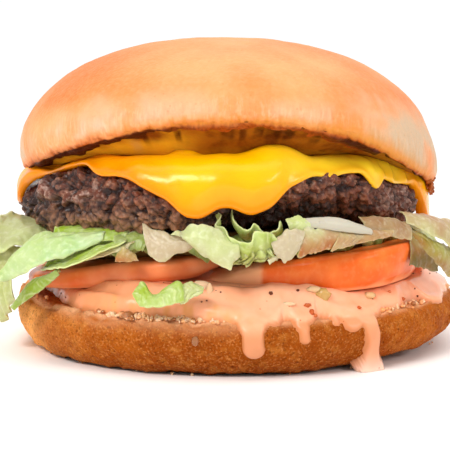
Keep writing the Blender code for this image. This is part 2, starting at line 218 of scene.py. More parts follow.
def grains(points, size, seed):
    """Distances to the nearest and the second nearest of random seeds, one in each cell of a lattice of that size, in
    units of the size."""
    place = points / size
    corner = np.floor(place)
    first = np.full(points.shape[:-1], 9.0)
    second = np.full(points.shape[:-1], 9.0)
    for step in itertools.product((-1, 0, 1), repeat=3):
        cell = corner + np.array(step)
        seed_at = cell + np.stack([scramble(cell, seed + k) for k in (0, 11, 23)], axis=-1)
        gap = np.linalg.norm(place - seed_at, axis=-1)
        second = np.minimum(second, np.maximum(first, gap))
        first = np.minimum(first, gap)
    return first, second


def through(knots, share):
    """A smooth curve through the knots: Catmull-Rom, read at shares 0 to 1 of the way along it."""
    knots = np.asarray(knots, float)
    padded = np.vstack([2 * knots[0] - knots[1], knots, 2 * knots[-1] - knots[-2]])
    place = np.clip(np.asarray(share, float), 0, 1) * (len(knots) - 1)
    index = np.minimum(place.astype(int), len(knots) - 2)
    t = (place - index)[..., None]
    a, b, c, d = (padded[index + k] for k in range(4))
    return 0.5 * ((2 * b) + (c - a) * t + (2 * a - 5 * b + 4 * c - d) * t**2 + (3 * b - a - 3 * c + d) * t**3)


# ---------------------------------------------------------------- meshes


def placed(name, data):
    """A new object in the scene with that mesh, lamp or camera."""
    thing = bpy.data.objects.new(name, data)
    bpy.context.scene.collection.objects.link(thing)
    return thing


def mesh_piece(name, points, faces, look, marks, replaces=()):
    """A piece from points in mm and a list of face arrays, each with one row of corners for a face. marks are numbers
    kept on the points for the materials to read."""
    mesh = bpy.data.meshes.new(name)
    corners = np.concatenate([part.ravel() for part in faces])
    sizes = np.concatenate([np.full(len(part), part.shape[1]) for part in faces])
    mesh.vertices.add(len(points))
    mesh.vertices.foreach_set("co", ((points + AXIS) * MM).astype(np.float32).ravel())
    mesh.loops.add(len(corners))
    mesh.loops.foreach_set("vertex_index", corners.astype(np.int32))
    mesh.polygons.add(len(sizes))
    mesh.polygons.foreach_set("loop_start", (np.cumsum(sizes) - sizes).astype(np.int32))
    mesh.update(calc_edges=True)
    mesh.validate()
    mesh.shade_smooth()
    for mark, values in marks.items():
        mesh.attributes.new(mark, "FLOAT", "POINT").data.foreach_set("value", np.asarray(values, np.float32).ravel())
    mesh.materials.append(look)
    piece = placed(name, mesh)
    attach(piece, "root")
    if replaces:
        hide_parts(*replaces)


def cells_of(rows, columns, closed=False):
    """The four-cornered faces of a grid whose points are numbered row by row; closed joins the last column to the
    first."""
    number = np.arange(rows * columns).reshape(rows, columns)
    if closed:
        number = np.hstack([number, number[:, :1]])
    return np.stack([number[:-1, :-1], number[1:, :-1], number[1:, 1:], number[:-1, 1:]], axis=-1).reshape(-1, 4)


def round_faces(rows, steps):
    """Faces of a round body whose points are numbered pole, rings, pole: cells between the rings and a fan at each
    pole."""
    around = np.arange(steps)
    beyond = (around + 1) % steps
    last = rows * steps + 1
    top = np.stack([0 * around, 1 + around, 1 + beyond], axis=-1)
    bottom = np.stack([last - steps + around, 0 * around + last, last - steps + beyond], axis=-1)
    return [cells_of(rows, steps, closed=True) + 1, np.vstack([top, bottom])]


def poled(grid):
    """A grid of values row by row, with its first and its last row shrunk to their mean."""
    rows = grid.reshape(*grid.shape[:2], -1)
    ends = rows[0].mean(0, keepdims=True), rows[-1].mean(0, keepdims=True)
    return np.vstack([ends[0], rows[1:-1].reshape(-1, rows.shape[-1]), ends[1]])


def round_piece(name, rings, look, marks, replaces):
    """A closed round body. rings is an array of (ring, step) points from the top pole down the outside to the bottom
    pole, with its steps anticlockwise seen from above; its first and last rings shrink to one point each."""
    count, steps = rings.shape[:2]
    marks = {mark: poled(values) for mark, values in marks.items()}
    mesh_piece(name, poled(rings), round_faces(count - 2, steps), look, marks, replaces)


def normals_of(grid, closed=False):
    """Unit normals of a grid of points: the cross product of its slopes along the rows and the columns."""
    wide = np.concatenate([grid[:, -1:], grid, grid[:, :1]], axis=1) if closed else grid
    down = np.gradient(wide, axis=0)
    along = np.gradient(wide, axis=1)
    normal = np.cross(down, along)
    normal /= np.maximum(np.linalg.norm(normal, axis=-1, keepdims=True), 1e-9)
    return normal[:, 1:-1] if closed else normal


def slab(top, bottom, marks, keep=None, closed=False, pole=False):
    """A closed body between two grids of points, the top one outside: the kept cells of the top, the same cells of the
    bottom turned over, and a wall along every edge that only one kept cell has. With pole the first row is one point.
    Returns its points and faces, and the marks of its points."""
    rows, columns = top.shape[:2]
    count = rows * columns
    cells = cells_of(rows, columns, closed)
    if keep is not None:
        cells = cells[keep.ravel()]
    if pole:
        cells = np.where(cells < columns, 0, cells)
    edges = np.concatenate([cells[:, [k, (k + 1) % 4]] for k in range(4)])
    edges = edges[edges[:, 0] != edges[:, 1]]
    single = edges[~np.isin(edges[:, 0] * count + edges[:, 1], edges[:, 1] * count + edges[:, 0])]
    walls = np.stack([single[:, 1], single[:, 0], single[:, 0] + count, single[:, 1] + count], axis=-1)
    fan = cells[:, 0] == cells[:, 3]
    quads = np.vstack([cells[~fan], cells[~fan][:, ::-1] + count, walls])
    fans = np.vstack([cells[fan][:, :3], cells[fan][:, 2::-1] + count])
    used, renumbered = np.unique(np.concatenate([quads.ravel(), fans.ravel()]), return_inverse=True)
    faces = [renumbered[: quads.size].reshape(-1, 4), renumbered[quads.size :].reshape(-1, 3)]
    points = np.vstack([top.reshape(-1, 3), bottom.reshape(-1, 3)])[used]
    marks = {mark: np.broadcast_to(values, (rows, columns)).ravel()[used % count] for mark, values in marks.items()}
    return points, [part for part in faces if len(part)], marks


def joined_piece(name, bodies, look, replaces=()):
    """A piece of several bodies, each given as its points, faces and marks. The faces of a body are counted on from the
    points before it."""
    points, faces, marks, count = [], {3: [], 4: []}, {}, 0
    for body_points, body_faces, body_marks in bodies:
        points.append(body_points)
        for part in body_faces:
            faces[part.shape[1]].append(part + count)
        for key, values in body_marks.items():
            marks.setdefault(key, []).append(np.broadcast_to(values, (len(body_points),)))
        count += len(body_points)
    marks = {key: np.concatenate(values) for key, values in marks.items()}
    faces = [np.vstack(parts) for parts in faces.values() if parts]
    mesh_piece(name, np.vstack(points), faces, look, marks, replaces)


# ---------------------------------------------------------------- materials


def linear(code):
    """An sRGB hex colour as linear red, green, blue and alpha."""
    shares = [int(code[i : i + 2], 16) / 255 for i in (0, 2, 4)]
    return (*(s / 12.92 if s <= 0.04045 else ((s + 0.055) / 1.055) ** 2.4 for s in shares), 1.0)


def add(look, kind, settings=None, inputs=None, out=0):
    """Adds a node of that kind to a material: settings are its properties, inputs its values or the sockets that feed
    them. Returns its output socket."""
    node = look.node_tree.nodes.new(kind)
    for key, value in (settings or {}).items():
        setattr(node, key, value)
    for key, value in (inputs or {}).items():
        if isinstance(value, bpy.types.NodeSocket):
            look.node_tree.links.new(value, node.inputs[key])
        else:
            node.inputs[key].default_value = value
    return node.outputs[out]


BLEND = {"data_type": "RGBA"}
FACTOR, FIRST, SECOND, BLENDED = 0, 6, 7, 2
NOISE, CELLS = "ShaderNodeTexNoise", "ShaderNodeTexVoronoi"


def pattern(look, size_mm, low=None, high=None, detail=3.0, kind=NOISE, taller=1.0):
    """A fine pattern of that size in mm, noise or the distance from the middle of random cells, and taller than wide by
    that factor. It runs from 0 at low to 1 at high, or as it comes where those aren't given."""
    place = add(look, "ShaderNodeTexCoord", None, None, "Object")
    if taller != 1.0:
        place = add(look, "ShaderNodeMapping", None, {"Vector": place, "Scale": (1.0, 1.0, 1 / taller)})
    inputs = {"Vector": place, "Scale": 1 / (size_mm * MM)}
    if kind == NOISE:
        inputs["Detail"] = detail
    value = add(look, kind, None, inputs)
    if low is None:
        return value
    span = {"Value": value, "From Min": low, "From Max": high, "To Min": 0.0, "To Max": 1.0}
    return add(look, "ShaderNodeMapRange", {"clamp": True}, span)


def food(name, roughness, subsurface=0.0, radius=(1.0, 0.3, 0.1), scale_mm=1.0, gloss=0.5, coat=0.0):
    """A new Principled material with those constants on the shader's own sockets."""
    look = bpy.data.materials.new(name)
    look.use_nodes = True
    constants = {
        "Roughness": roughness,
        "IOR": 1.4,
        "Specular IOR Level": gloss,
        "Subsurface Weight": subsurface,
        "Subsurface Radius": radius,
        "Subsurface Scale": scale_mm * MM,
        "Coat Weight": coat,
        "Coat Roughness": 0.15,
    }
    for socket, value in constants.items():
        look.node_tree.nodes["Principled BSDF"].inputs[socket].default_value = value
    return look


def coloured(look, base, layers=(), patterns=None, bump=None, depth_mm=0.3, roughness=None):
    """Gives a material a base colour with others laid over it in turn. A layer is a colour and the parts of its
    strength, multiplied: names of the patterns, names of marks that the mesh keeps on its points, and numbers. bump is
    a pattern that stands out by that depth. roughness is a pattern and its values where that is 0 and 1."""
    made = {name: pattern(look, *numbers) for name, numbers in (patterns or {}).items()}
    shader = look.node_tree.nodes["Principled BSDF"]
    colour = linear(base)
    shader.inputs["Base Color"].default_value = colour
    for code, *parts in layers:
        strength = None
        for part in parts:
            if isinstance(part, str):
                mark = {"attribute_name": part}
                part = made[part] if part in made else add(look, "ShaderNodeAttribute", mark, None, "Fac")
            if strength is not None:
                part = add(look, "ShaderNodeMath", {"operation": "MULTIPLY"}, {0: strength, 1: part})
            strength = part
        inputs = {FACTOR: strength, FIRST: colour, SECOND: linear(code)}
        colour = add(look, "ShaderNodeMix", BLEND, inputs, BLENDED)
        look.node_tree.links.new(colour, shader.inputs["Base Color"])
    if bump:
        height = {"Height": pattern(look, *bump), "Distance": depth_mm * MM, "Strength": 1.0}
        look.node_tree.links.new(add(look, "ShaderNodeBump", None, height), shader.inputs["Normal"])
    if roughness:
        name, low, high = roughness
        span = {"Value": made[name], "From Min": 0.0, "From Max": 1.0, "To Min": low, "To Max": high}
        look.node_tree.links.new(add(look, "ShaderNodeMapRange", None, span), shader.inputs["Roughness"])
    return look


def crown_crust():
    """Baked soft-bun crust: golden on top, floury pale where it touched its neighbour, toasted brown and greasy along
    the cut, and darkened further by painted shade along the cut edge and on the cut face below it, most at the sides.
    It gives a satin, faintly mottled skin with fine upright creases."""
    patterns = {
        "clouds": (16.0, 0.38, 0.66),  # uneven browning, patches 10 to 20 mm wide
        "mottle": (1.1, 0.42, 0.68, 5.0),
        "pores": (2.4, 0.13, 0.05, 0.0, CELLS),
        "creases": (0.7, 0.50, 0.62, 4.0, NOISE, 4.0),  # 0.7 mm apart and four times as tall
        "gaps": (0.9, 0.50, 0.40, 4.0, NOISE, 4.0),
    }
    layers = [
        ("F2A26A", "clouds"),
        ("E0722F", "deep"),
        ("C8B294", "pale"),
        ("F2B280", "mottle", 0.2),
        ("C06A34", "pores", 0.25),
        ("F6D8B8", "creases", "pressed", 0.22),
        ("C8733A", "gaps", "pressed", 0.25),
        ("CE861C", "grease"),
        ("BA5616", "toast"),
        ("6E2A08", "toast", "gaps", 0.5),
        # partly toasted crust and partly painted shade along the cut edge and on the cut face below it
        ("3A1002", "char"),
    ]
    look = food("baked_crown_crust", 0.5, 0.1, (1.0, 0.5, 0.25), 2.0, gloss=0.2)
    return coloured(look, "EB8F52", layers, patterns, bump=(0.7, None, None, 4.0), depth_mm=0.22)


def heel_crust():
    """The heel's baked crust: matte, finely pored like any soft bun's underside, orange brown at the left and brighter
    there by painted light, darkened in front and towards the table by painted shade, and nearly black in places along
    its foot."""
    patterns = {
        "clouds": (12.0, 0.36, 0.66),
        "grit": (0.5, 0.52, 0.70, 3.0),  # lighter spots a quarter of a millimetre wide
        "pits": (0.55, 0.46, 0.32, 3.0),  # darker pits between them
        "tan": (2.6, 0.50, 0.66, 4.0),
        "blotch": (4.5, 0.50, 0.64, 4.0),
        "pores": (2.2, 0.16, 0.07, 0.0, CELLS),
    }
    layers = [
        ("B86218", "clouds"),
        # painted shade: darker in front and towards the table
        ("90420A", "dusk"),
        ("8A3E08", "blotch", 0.4),
        ("CC8236", "tan", 0.35),
        # painted light: brighter orange at the far left
        ("FFB060", "sun", 0.9),
        ("EAA05C", "grit", 0.4),
        ("6E2E04", "pits", 0.6),
        ("5A2202", "pores", 0.6),
        ("EFB080", "crumb"),
        ("B0590F", "toast"),
        ("45200C", "char"),
    ]
    look = food("baked_heel_crust", 0.6, 0.08, (1.0, 0.4, 0.2), 1.5, gloss=0.05)
    return coloured(look, "A04A0C", layers, patterns, bump=(0.9, None, None, 5.0), depth_mm=0.7)


def beef():
    """Griddled ground beef: reddish brown on its high lumps and glinting with fat, helped by a painted pale sheen on
    its torn lumps; painted shade makes it almost black in its clefts, its hollows and under its front edge.
    """
    patterns = {"strands": (1.6, 0.46, 0.60, 5.0), "flecks": (0.8, 0.56, 0.64)}
    layers = [
        ("92583C", "strands"),
        ("C4967A", "flecks", 0.45),
        ("B2835E", "grey", 0.8),
        # partly wet fat and partly a painted sheen: pale pinkish grey on the torn lumps and at the right, standing in
        # for glints
        ("D4B2A2", "wet", "strands", 0.75),
        # painted shade: near black in the clefts, the sunken places, the craters and under the front right edge
        ("260B04", "cleft"),
    ]
    look = food("griddled_beef", 0.42, 0.05, (1.0, 0.3, 0.2), 0.8, gloss=0.4, coat=0.22)
    wet = ("flecks", 0.5, 0.2)
    return coloured(look, "763A22", layers, patterns, bump=(1.0, None, None, 6.0), depth_mm=0.7, roughness=wet)


def cheese():
    """Melted processed cheese: smooth, thick and glossy, bright yellow on its swellings and orange where it is thin or
    turns under, the latter partly painted shade, which also makes it orange below the crown at the left front; painted
    light makes it brighter at the right front. Its gleam is warm."""
    look = food("melted_cheese", 0.22, 0.2, (1.0, 0.55, 0.02), 2.5, gloss=0.65)
    look.node_tree.nodes["Principled BSDF"].inputs["Specular Tint"].default_value = linear("FFF4CC")
    # the second colour is painted light at the right front; the third is the cheese's own orange where it is thin and
    # painted shade where it turns under
    layers = [("FFBE00", "clouds"), ("FFD62A", "sun"), ("F79000", "low"), ("EE8200", "thin")]
    patterns = {"clouds": (16.0, 0.4, 0.7)}
    return coloured(look, "FFB800", layers, patterns, bump=(5.0, None, None, 2.0), depth_mm=0.25)


def browned_film():
    """Cheese and fat drawn out thin between the slice and the bun: glossy, golden below and brown where the toasted
    bread shows through, with spots of painted shade along its top where it is torn through and a band of painted shade
    just under the crown."""
    look = food("browned_cheese_film", 0.3, 0.1, (1.0, 0.5, 0.1), 1.5, gloss=0.3)
    # the third colour is painted shade: spots along the top where the film is torn through and a band just under the
    # crown
    layers = [("74360A", "patches"), ("DCA01E", "low"), ("421004", "holes"), ("C89858", "flaw")]
    patterns = {"patches": (5.0, 0.46, 0.58, 4.0)}
    return coloured(look, "94520F", layers, patterns, bump=(3.0, None, None, 3.0), depth_mm=0.4)


def sauce():
    """Creamy burger sauce: opaque salmon pink with a wet gloss, browner where it is a thin film over the crust. Painted
    highlight makes it pale where the longest drip spreads on the table, and painted light where it swells between the
    slices.
    """
    look = food("burger_sauce", 0.2, 0.18, (1.0, 0.5, 0.35), 1.2, gloss=0.3)
    layers = [
        ("FFB993", "clouds"),
        ("EC935C", "warm"),
        ("D68E62", "runs", 0.9),
        # painted highlight on the drip's foot on the table and painted light on the swell between the tomato slices
        ("FFDCC8", "foot"),
        ("CC7C44", "film", 0.75),
        ("EEA468", "crumbs"),
        ("B4562A", "specks", 0.6),
    ]
    return coloured(look, "FCAC82", layers, {"clouds": (7.0, 0.42, 0.66), "specks": (2.2, 0.11, 0.05, 0.0, CELLS)})


def tomato_flesh():
    """Cut tomato: wet, softly marbled orange-red flesh with a paler line of skin."""
    look = food("cut_tomato", 0.24, 0.2, (1.0, 0.3, 0.1), 2.0, gloss=0.22)
    layers = [
        ("F68238", "marbling"),
        ("FA9C5E", "threads", 0.35),
        ("D4561A", "low", 0.5),
        ("FFC090", "skin", 0.8),
        ("FFB684", "film", 0.9),
    ]
    return coloured(look, "EC6A26", layers, {"marbling": (5.0, 0.42, 0.72), "threads": (1.4, 0.5, 0.75)})


def iceberg():
    """Iceberg leaf: thin, crisp and slightly see-through, pale mint to yellow-green, with pale veins and cut edges that
    a painted highlight makes paler still, painted shade on leaves that lie under or behind others, and a wet gleam."""
    look = food("iceberg_leaf", 0.3, 0.3, (0.9, 1.0, 0.4), 1.2, gloss=0.45)
    patterns = {"patches": (4.5, 0.40, 0.68), "fibres": (1.2, 0.5, 0.7, 4.0)}
    layers = [
        ("92AC1C", "green"),
        ("A2C488", "mint"),
        ("DCE6BC", "patches", 0.3),
        ("E2E6AE", "vein", 0.6),
        ("BAAB8C", "white"),
        ("A8662E", "sauce"),
        ("F2F2DA", "fibres", 0.2),
        # partly the leaf's paler cut edge and partly painted highlight
        ("E6EBB4", "edge", 0.4),
        # painted shade: near black olive on leaves that lie under or behind others
        ("4A4A0C", "dark"),
    ]
    return coloured(look, "BECA82", layers, patterns, bump=(1.6, None, None, 0.0, CELLS), depth_mm=0.18)


def plain_food(name, code, roughness, subsurface=0.15, tone=None):
    """A food of one colour with a soft sheen, and a second colour on the pieces whose tone is high."""
    look = food(name, roughness, subsurface, (1.0, 0.6, 0.3), 0.8, gloss=0.4)
    return coloured(look, code, [(tone, "tone")] if tone else [])


def clear_fat():
    """Clear drops of melted fat: smooth, and they glint."""
    look = coloured(food("clear_fat", 0.04, gloss=0.9), "D9955C")
    look.node_tree.nodes["Principled BSDF"].inputs["Transmission Weight"].default_value = 0.6
    return look


# ---------------------------------------------------------------- bun heel

# The heel's outline, as shares of its radius and its height: cut face, rim, crust and flat base.
HEEL_OUTLINE = (
    (0.0, 1.0),
    (0.945, 1.0),
    (0.975, 0.965),
    (0.993, 0.86),
    (1.0, 0.68),
    (0.992, 0.45),
    (0.968, 0.24),
    (0.93, 0.08),
    (0.885, 0.0),
    (0.0, 0.0),
)
RIM_TRAVEL = HEEL_RADIUS * HEEL_OUTLINE[1][0]


def walked(outline, radius, height, blur):
    """An outline read every 0.1 mm along its length and averaged over blur mm, which rounds its corners: arrays of the
    distance walked, the share of the radius and the share of the height."""
    ends = np.array(outline) * (radius, height)
    stops = np.concatenate([[0.0], np.cumsum(np.hypot(*np.diff(ends, axis=0).T))])
    distance = np.arange(0.0, stops[-1], 0.1)
    half = int(blur / 0.2)
    shares = []
    for column, unit in zip(ends.T, (radius, height)):
        values = np.pad(np.interp(distance, stops, column), half, mode="edge")
        shares.append(np.convolve(values, np.ones(2 * half + 1) / (2 * half + 1), "valid") / unit)
    return distance, shares[0], shares[1]


HEEL_WALK = walked(HEEL_OUTLINE, HEEL_RADIUS, HEEL_HEIGHT, 2.0)
HEEL_END = HEEL_WALK[0][-1]


def heel_top(y):
    """The height of the cut face, which leans up towards the back."""
    return HEEL_HEIGHT + HEEL_LEAN * y


def heel_skin(angle, travelled):
    """The point reached after travelling that far from the middle of the cut face, over the rim and down the crust.
    The left side is drawn in a little, and the foot lifts off the table towards the right."""
    radius = HEEL_RADIUS * np.interp(travelled, HEEL_WALK[0], HEEL_WALK[1])
    x, y = polar(radius * (1 - 0.02 * near(angle, 180.0, 12.0, 45.0)), angle)
    level = np.interp(travelled, HEEL_WALK[0], HEEL_WALK[2])
    return stacked(x, y, level * heel_top(y) + (1 - level) * 2.3 * smooth(x, 4.0, 58.0))


def above(skin, angle, travelled, height):
    """The point that stands height above a skin: the skin's point plus height times its unit normal, which is the
    cross product of small steps down and round it."""
    travelled = np.maximum(travelled, 0.4)
    down = skin(angle, travelled + 0.15) - skin(angle, travelled - 0.15)
    along = skin(angle + 0.1, travelled) - skin(angle - 0.1, travelled)
    normal = np.cross(down, along)
    normal /= np.maximum(np.linalg.norm(normal, axis=-1, keepdims=True), 1e-9)
    return skin(angle, travelled) + normal * np.asarray(height)[..., None]


def make_heel(look):
    """The heel's skin moved in and out: noise of 9, 2.5 and 1.1 mm, pores 1.6 mm apart, torn crumb along the cut rim
    and a dent of 0.7 mm in it at the left front. Its foot is nicked by noise of 2.2 and 7 mm."""
    steps = np.concatenate([np.arange(-190, 10, 0.5), np.arange(10, 170, 1.0)])
    side = np.arange(46.5, HEEL_END - 48, 0.36)
    travel = np.concatenate([np.linspace(0, 46, 6), side, np.linspace(HEEL_END - 47.5, HEEL_END, 6)])
    angle, travelled = np.meshgrid(steps, travel)
    base = heel_skin(angle, travelled)
    crust = smooth(travelled, RIM_TRAVEL - 1, RIM_TRAVEL + 3)
    crust = crust * (1 - smooth(travelled, RIM_TRAVEL + 17, RIM_TRAVEL + 21))
    broken = rough(base, 2.2, 13) * 0.5 + rough(base, 7.0, 14) * 0.5
    ragged = near(angle, -110.0, 16.0, 34.0)  # the bread is most torn here
    rim = hump(travelled, RIM_TRAVEL + 0.6, 2.0 + 0.8 * ragged)
    dent = near(angle, -146.0, 2.0, 9.0) * hump(travelled, RIM_TRAVEL + 1.5, 5.0)
    pore, _ = grains(base, 1.6, 15)
    relief = crust * (0.45 * rough(base, 9.0, 3) + 0.18 * rough(base, 2.5, 5) + 0.16 * rough(base, 1.1, 7))
    relief += rim * (0.45 + 0.5 * ragged) * rough(base, 1.5, 9) - 0.7 * dent
    relief -= 0.7 * crust * np.clip(0.42 - pore, 0, 1) * (0.3 + smooth(rough(base, 6.0, 17), -0.3, 0.5))
    rings = above(heel_skin, angle, travelled, relief)
    foot = 1 - smooth(rings[..., 2], 0.0, 1.6)
    rings[..., 2] += foot * 0.8 * smooth(broken, 0.0, 0.7) * smooth(travelled, 60, 64) * (1 - smooth(travelled, 74, 80))
    rings[..., 2] = np.maximum(rings[..., 2], 0.0)
    low = base[..., 2]
    # painted light: the crust at the far left is made brighter
    sun = 1.3 * near(angle, -174.0, 16, 38) + 0.15 * near(angle, -146.0, 8, 26)
    marks = {
        "crumb": np.clip(hump(travelled, RIM_TRAVEL + 0.6, 1.2 + 1.3 * ragged) * (0.8 + 0.9 * broken), 0, 1),
        "toast": np.clip(hump(travelled, RIM_TRAVEL + 2.4, 0.9) * (0.2 + 1.2 * broken), 0, 1),
        "char": np.clip(1 - smooth(low, 0.1, 0.7 + 1.6 * np.maximum(broken, 0)), 0, 1),
        "sun": np.clip(sun * crust * (0.85 + 0.3 * broken), 0, 1),
        # painted shade: darker towards the table and in front
        "dusk": np.clip((1 - smooth(low, 1.0, 7.0)) * 0.45 + 0.55 * near(angle, -84.0, 14, 44), 0, 1),
    }
    round_piece("toasted_heel", rings, look, marks, ("bun_heel",))


# ---------------------------------------------------------------- bun crown


def crown_sag(share, angle):
    """How far the cut face stands above its middle: the sides sag round the patty and the front lifts."""
    across = np.sin(np.radians(angle)) ** 2
    end = np.where(np.sin(np.radians(angle)) < 0, CROWN_FRONT_LIFT, CROWN_BACK_SAG)
    return (CROWN_SIDE_SAG + (end - CROWN_SIDE_SAG) * across) * share**3


def crown_place(share, angle, height):
    """The crown's point at a share of its radius and a height over its cut. The dome shifts to the left as it rises,
    the right end droops by 3.2 mm and the front arches up by 1.2 mm."""
    dx, y = polar(CROWN_RADIUS * share, angle)
    risen = height / (CROWN_SIDE_HEIGHT + CROWN_DOME_HEIGHT)
    x = CROWN_CENTRE_X + dx - CROWN_TOP_SHIFT * risen
    droop = 3.2 * near(angle, -12.0, 14.0, 46.0) * smooth(share, 0.86, 1.0) * (1.0 - smooth(risen, 0.1, 0.5))
    arch = 1.2 * near(angle, -92.0, 14.0, 44.0) * smooth(share, 0.75, 0.95) * (1.0 - smooth(risen, 0.0, 0.3))
    return stacked(x, y, CROWN_CUT_Z + height + crown_sag(share, angle) * (1.0 - 0.75 * risen) - droop + arch)


CROWN_LOWER_OUTLINE = ((1.0, 4.6), (0.999, 3.4), (0.994, 2.3), (0.984, 1.2), (0.968, 0.4), (0.945, 0.0), (0.0, 0.0))


def make_crown(look):
    """An ellipse turned into a dome over a rounded cut edge and a vaulted cut face. Its skin bulges by 0.9 mm at the
    right end, carries fine upright creases just above the cut, where the crust was pressed, and ends in a rim of torn,
    toasted grains: a dome over each random seed, 1.1 mm apart."""
    steps = np.concatenate([np.arange(-190, 10, 0.6), np.arange(10, 170, 1.0)])
    turn = np.radians(np.concatenate([np.linspace(0, 60, 30), np.linspace(61, 90, 44)]))
    dome = np.stack([np.sin(turn), CROWN_SIDE_HEIGHT + CROWN_DOME_HEIGHT * np.cos(turn)], axis=-1)
    distance, share, level = walked(CROWN_LOWER_OUTLINE, CROWN_RADIUS, 1.0, 0.6)
    ends = np.concatenate([np.arange(0.4, 11.0, 0.28), np.linspace(12, distance[-1], 20)])
    lower = np.stack([np.interp(ends, distance, share), np.interp(ends, distance, level)], axis=-1)
    outline = np.vstack([dome, lower])
    share = np.repeat(outline[:, :1], len(steps), axis=1)
    height = np.repeat(outline[:, 1:], len(steps), axis=1)
    angle = np.repeat(steps[None], len(outline), axis=0)
    base = crown_place(share, angle, height)
    ring = np.arange(len(outline))[:, None]
    outside = 1 - smooth(ring, len(dome) + 13, len(dome) + 17)  # 1 on the crust, 0 on the cut face
    above_cut = height * outside
    arc = np.radians(angle) * CROWN_RADIUS
    streak = np.clip(0.5 + 0.5 * rough(stacked(arc / 0.9, height / 4.0, 0 * arc), 1.0, 37, 2), 0, 1.5)
    front, right = near(angle, -94.0, 12, 36), near(angle, -46.0, 14, 40)
    left_side, right_side = near(angle, -140.0, 18, 46), near(angle, -32.0, 14, 44)
    crease = smooth(above_cut, 0.8, 2.2) * (1 - smooth(above_cut + 1.5 * rough(base, 7.0, 39), 4.5, 9.0)) * outside
    first, _ = grains(base, 1.1, 33)
    wrinkles = rough(stacked(arc / 1.2 + 0.8 * rough(base, 5.0, 38), height / 3.4, 0 * arc), 1.0, 31, 2)
    wrinkles = wrinkles * smooth(rough(base, 7.0, 36), -0.5, 0.4)
    torn = (1 - smooth(height, 1.2, 2.6)) * smooth(share, 0.93, 0.97)
    blister = outside * (0.24 * rough(base, 11.0, 23) + 0.10 * rough(base, 4.0, 25))
    under = (1 - outside) * (0.35 * rough(base, 2.0, 27) + 0.5 * rough(base, 6.0, 28))
    bulge = 0.9 * near(angle, -2.0, 6, 26) * (1 - smooth(height, 5.0, 11.0)) * outside
    relief = blister + bulge + under + 0.09 * crease * wrinkles
    relief += torn * (0.3 * (0.5 - 1.6 * np.minimum(first, 0.8) ** 2) + 0.2 * rough(base, 3.0, 34))
    rings = base + normals_of(base, closed=True) * relief[..., None]
    rings[0], rings[-1] = base[0], base[-1]
    rings[..., 2] += torn * (0.26 * rough(on_line(arc), 2.4, 35, 3) - 0.1)

    band = smooth(above_cut, 1.4, 3.2)
    band = band * (1 - smooth(above_cut + 2.5 * rough(base, 9.0, 41) - 3.0 * right_side, 3.5, 11.5))
    sides = 0.85 * left_side + 0.8 * right_side + 0.6 * near(angle, 90.0, 40, 120)
    shoulders = (0.6 * near(angle, -150, 14, 40) + 0.3 * near(angle, -36, 8, 30)) * smooth(share, 0.2, 0.7)
    edge = smooth(share, 0.90, 0.945) * (1 - smooth(above_cut, 0.0, 0.5)) * (1 - smooth(height, 0.5, 1.6))
    flour = smooth(rough(base, 7.0, 43, 3) + 0.6 * right_side, -0.6, 0.7)
    grease = 1 - smooth(above_cut, 0.2, 1.0 + 3.6 * streak**1.5 + 3.4 * right)
    toast = 1 - smooth(above_cut, 0.5, 1.5 + 1.2 * streak * (1 - 0.6 * right))
    toast = toast * (0.95 - 0.55 * front) * (0.75 + 0.5 * rough(base, 2.0, 46))
    # partly toasted crust and partly painted shade: the cut edge and the cut face below it, most at the left and right
    # sides
    char = edge * (0.2 + 0.7 * left_side + 0.6 * right_side)
    char = char + (1 - outside) * (0.15 + 0.8 * left_side + 0.4 * right_side)
    marks = {
        "pale": np.clip(band * (0.45 + 0.55 * sides) * flour * outside, 0, 0.9),
        "pressed": crease * (0.5 + 0.5 * np.abs(wrinkles)),
        "deep": np.clip(outside * smooth(height, 7.0, 14.0) * (0.1 + shoulders + 0.4 * rough(base, 16.0, 45)), 0, 0.9),
        "grease": np.clip(grease * outside * (0.1 + 0.8 * np.maximum(front, 0.9 * right)), 0, 0.85),
        "toast": np.clip(toast + 0.6 * (1 - outside), 0, 1),
        "char": np.clip(char, 0, 0.96),
    }
    round_piece("golden_crown", rings, look, marks, ("bun_crown",))


# ---------------------------------------------------------------- patty

PATTY_OUTLINE = (
    (0.0, 1.0),
    (0.9, 1.0),
    (0.965, 0.915),
    (0.997, 0.68),
    (1.0, 0.42),
    (0.975, 0.15),
    (0.92, 0.0),
    (0.0, 0.0),
)
PATTY_WALK = walked(PATTY_OUTLINE, PATTY_RADIUS, PATTY_TOP_Z - PATTY_BOTTOM_Z, 1.6)


def patty_top(x, y):
    """The patty sags at its sides with the crown above it."""
    dx = x - CROWN_CENTRE_X
    sag = crown_sag(np.hypot(dx, y) / CROWN_RADIUS, np.degrees(np.arctan2(y, dx)))
    return PATTY_TOP_Z + np.minimum(0.3, sag)


def patty_bottom(x, y):
    """Flat, with a worn hollow under its front right edge and a lower back."""
    dx = x - PATTY_CENTRE_X
    angle = np.degrees(np.arctan2(y, dx))
    out = smooth(np.hypot(dx, y), 0.72 * PATTY_RADIUS, PATTY_RADIUS)
    hollow = 6.4 * near(angle, -66.0, 12.0, 32.0) * out
    sag = 1.6 * near(angle, 180.0, 30.0, 75.0) * out
    return PATTY_BOTTOM_Z + hollow - sag - 0.9 * smooth(y, 0.0, 45.0)


def patty_radius(angle):
    """A hand-formed round: a few broad, shallow waves in its outline."""
    turn = np.radians(angle)
    return PATTY_RADIUS + 0.5 * np.sin(3 * turn + 0.6) + 0.35 * np.sin(5 * turn + 2.0)


def patty_skin(angle, travelled):
    """The point reached after travelling that far from the middle of the top, over the edge and down the side."""
    dx, y = polar(patty_radius(angle) * np.interp(travelled, PATTY_WALK[0], PATTY_WALK[1]), angle)
    x = PATTY_CENTRE_X + dx
    low, high = patty_bottom(x, y), patty_top(x, y)
    return stacked(x, y, low + (high - low) * np.interp(travelled, PATTY_WALK[0], PATTY_WALK[2]))


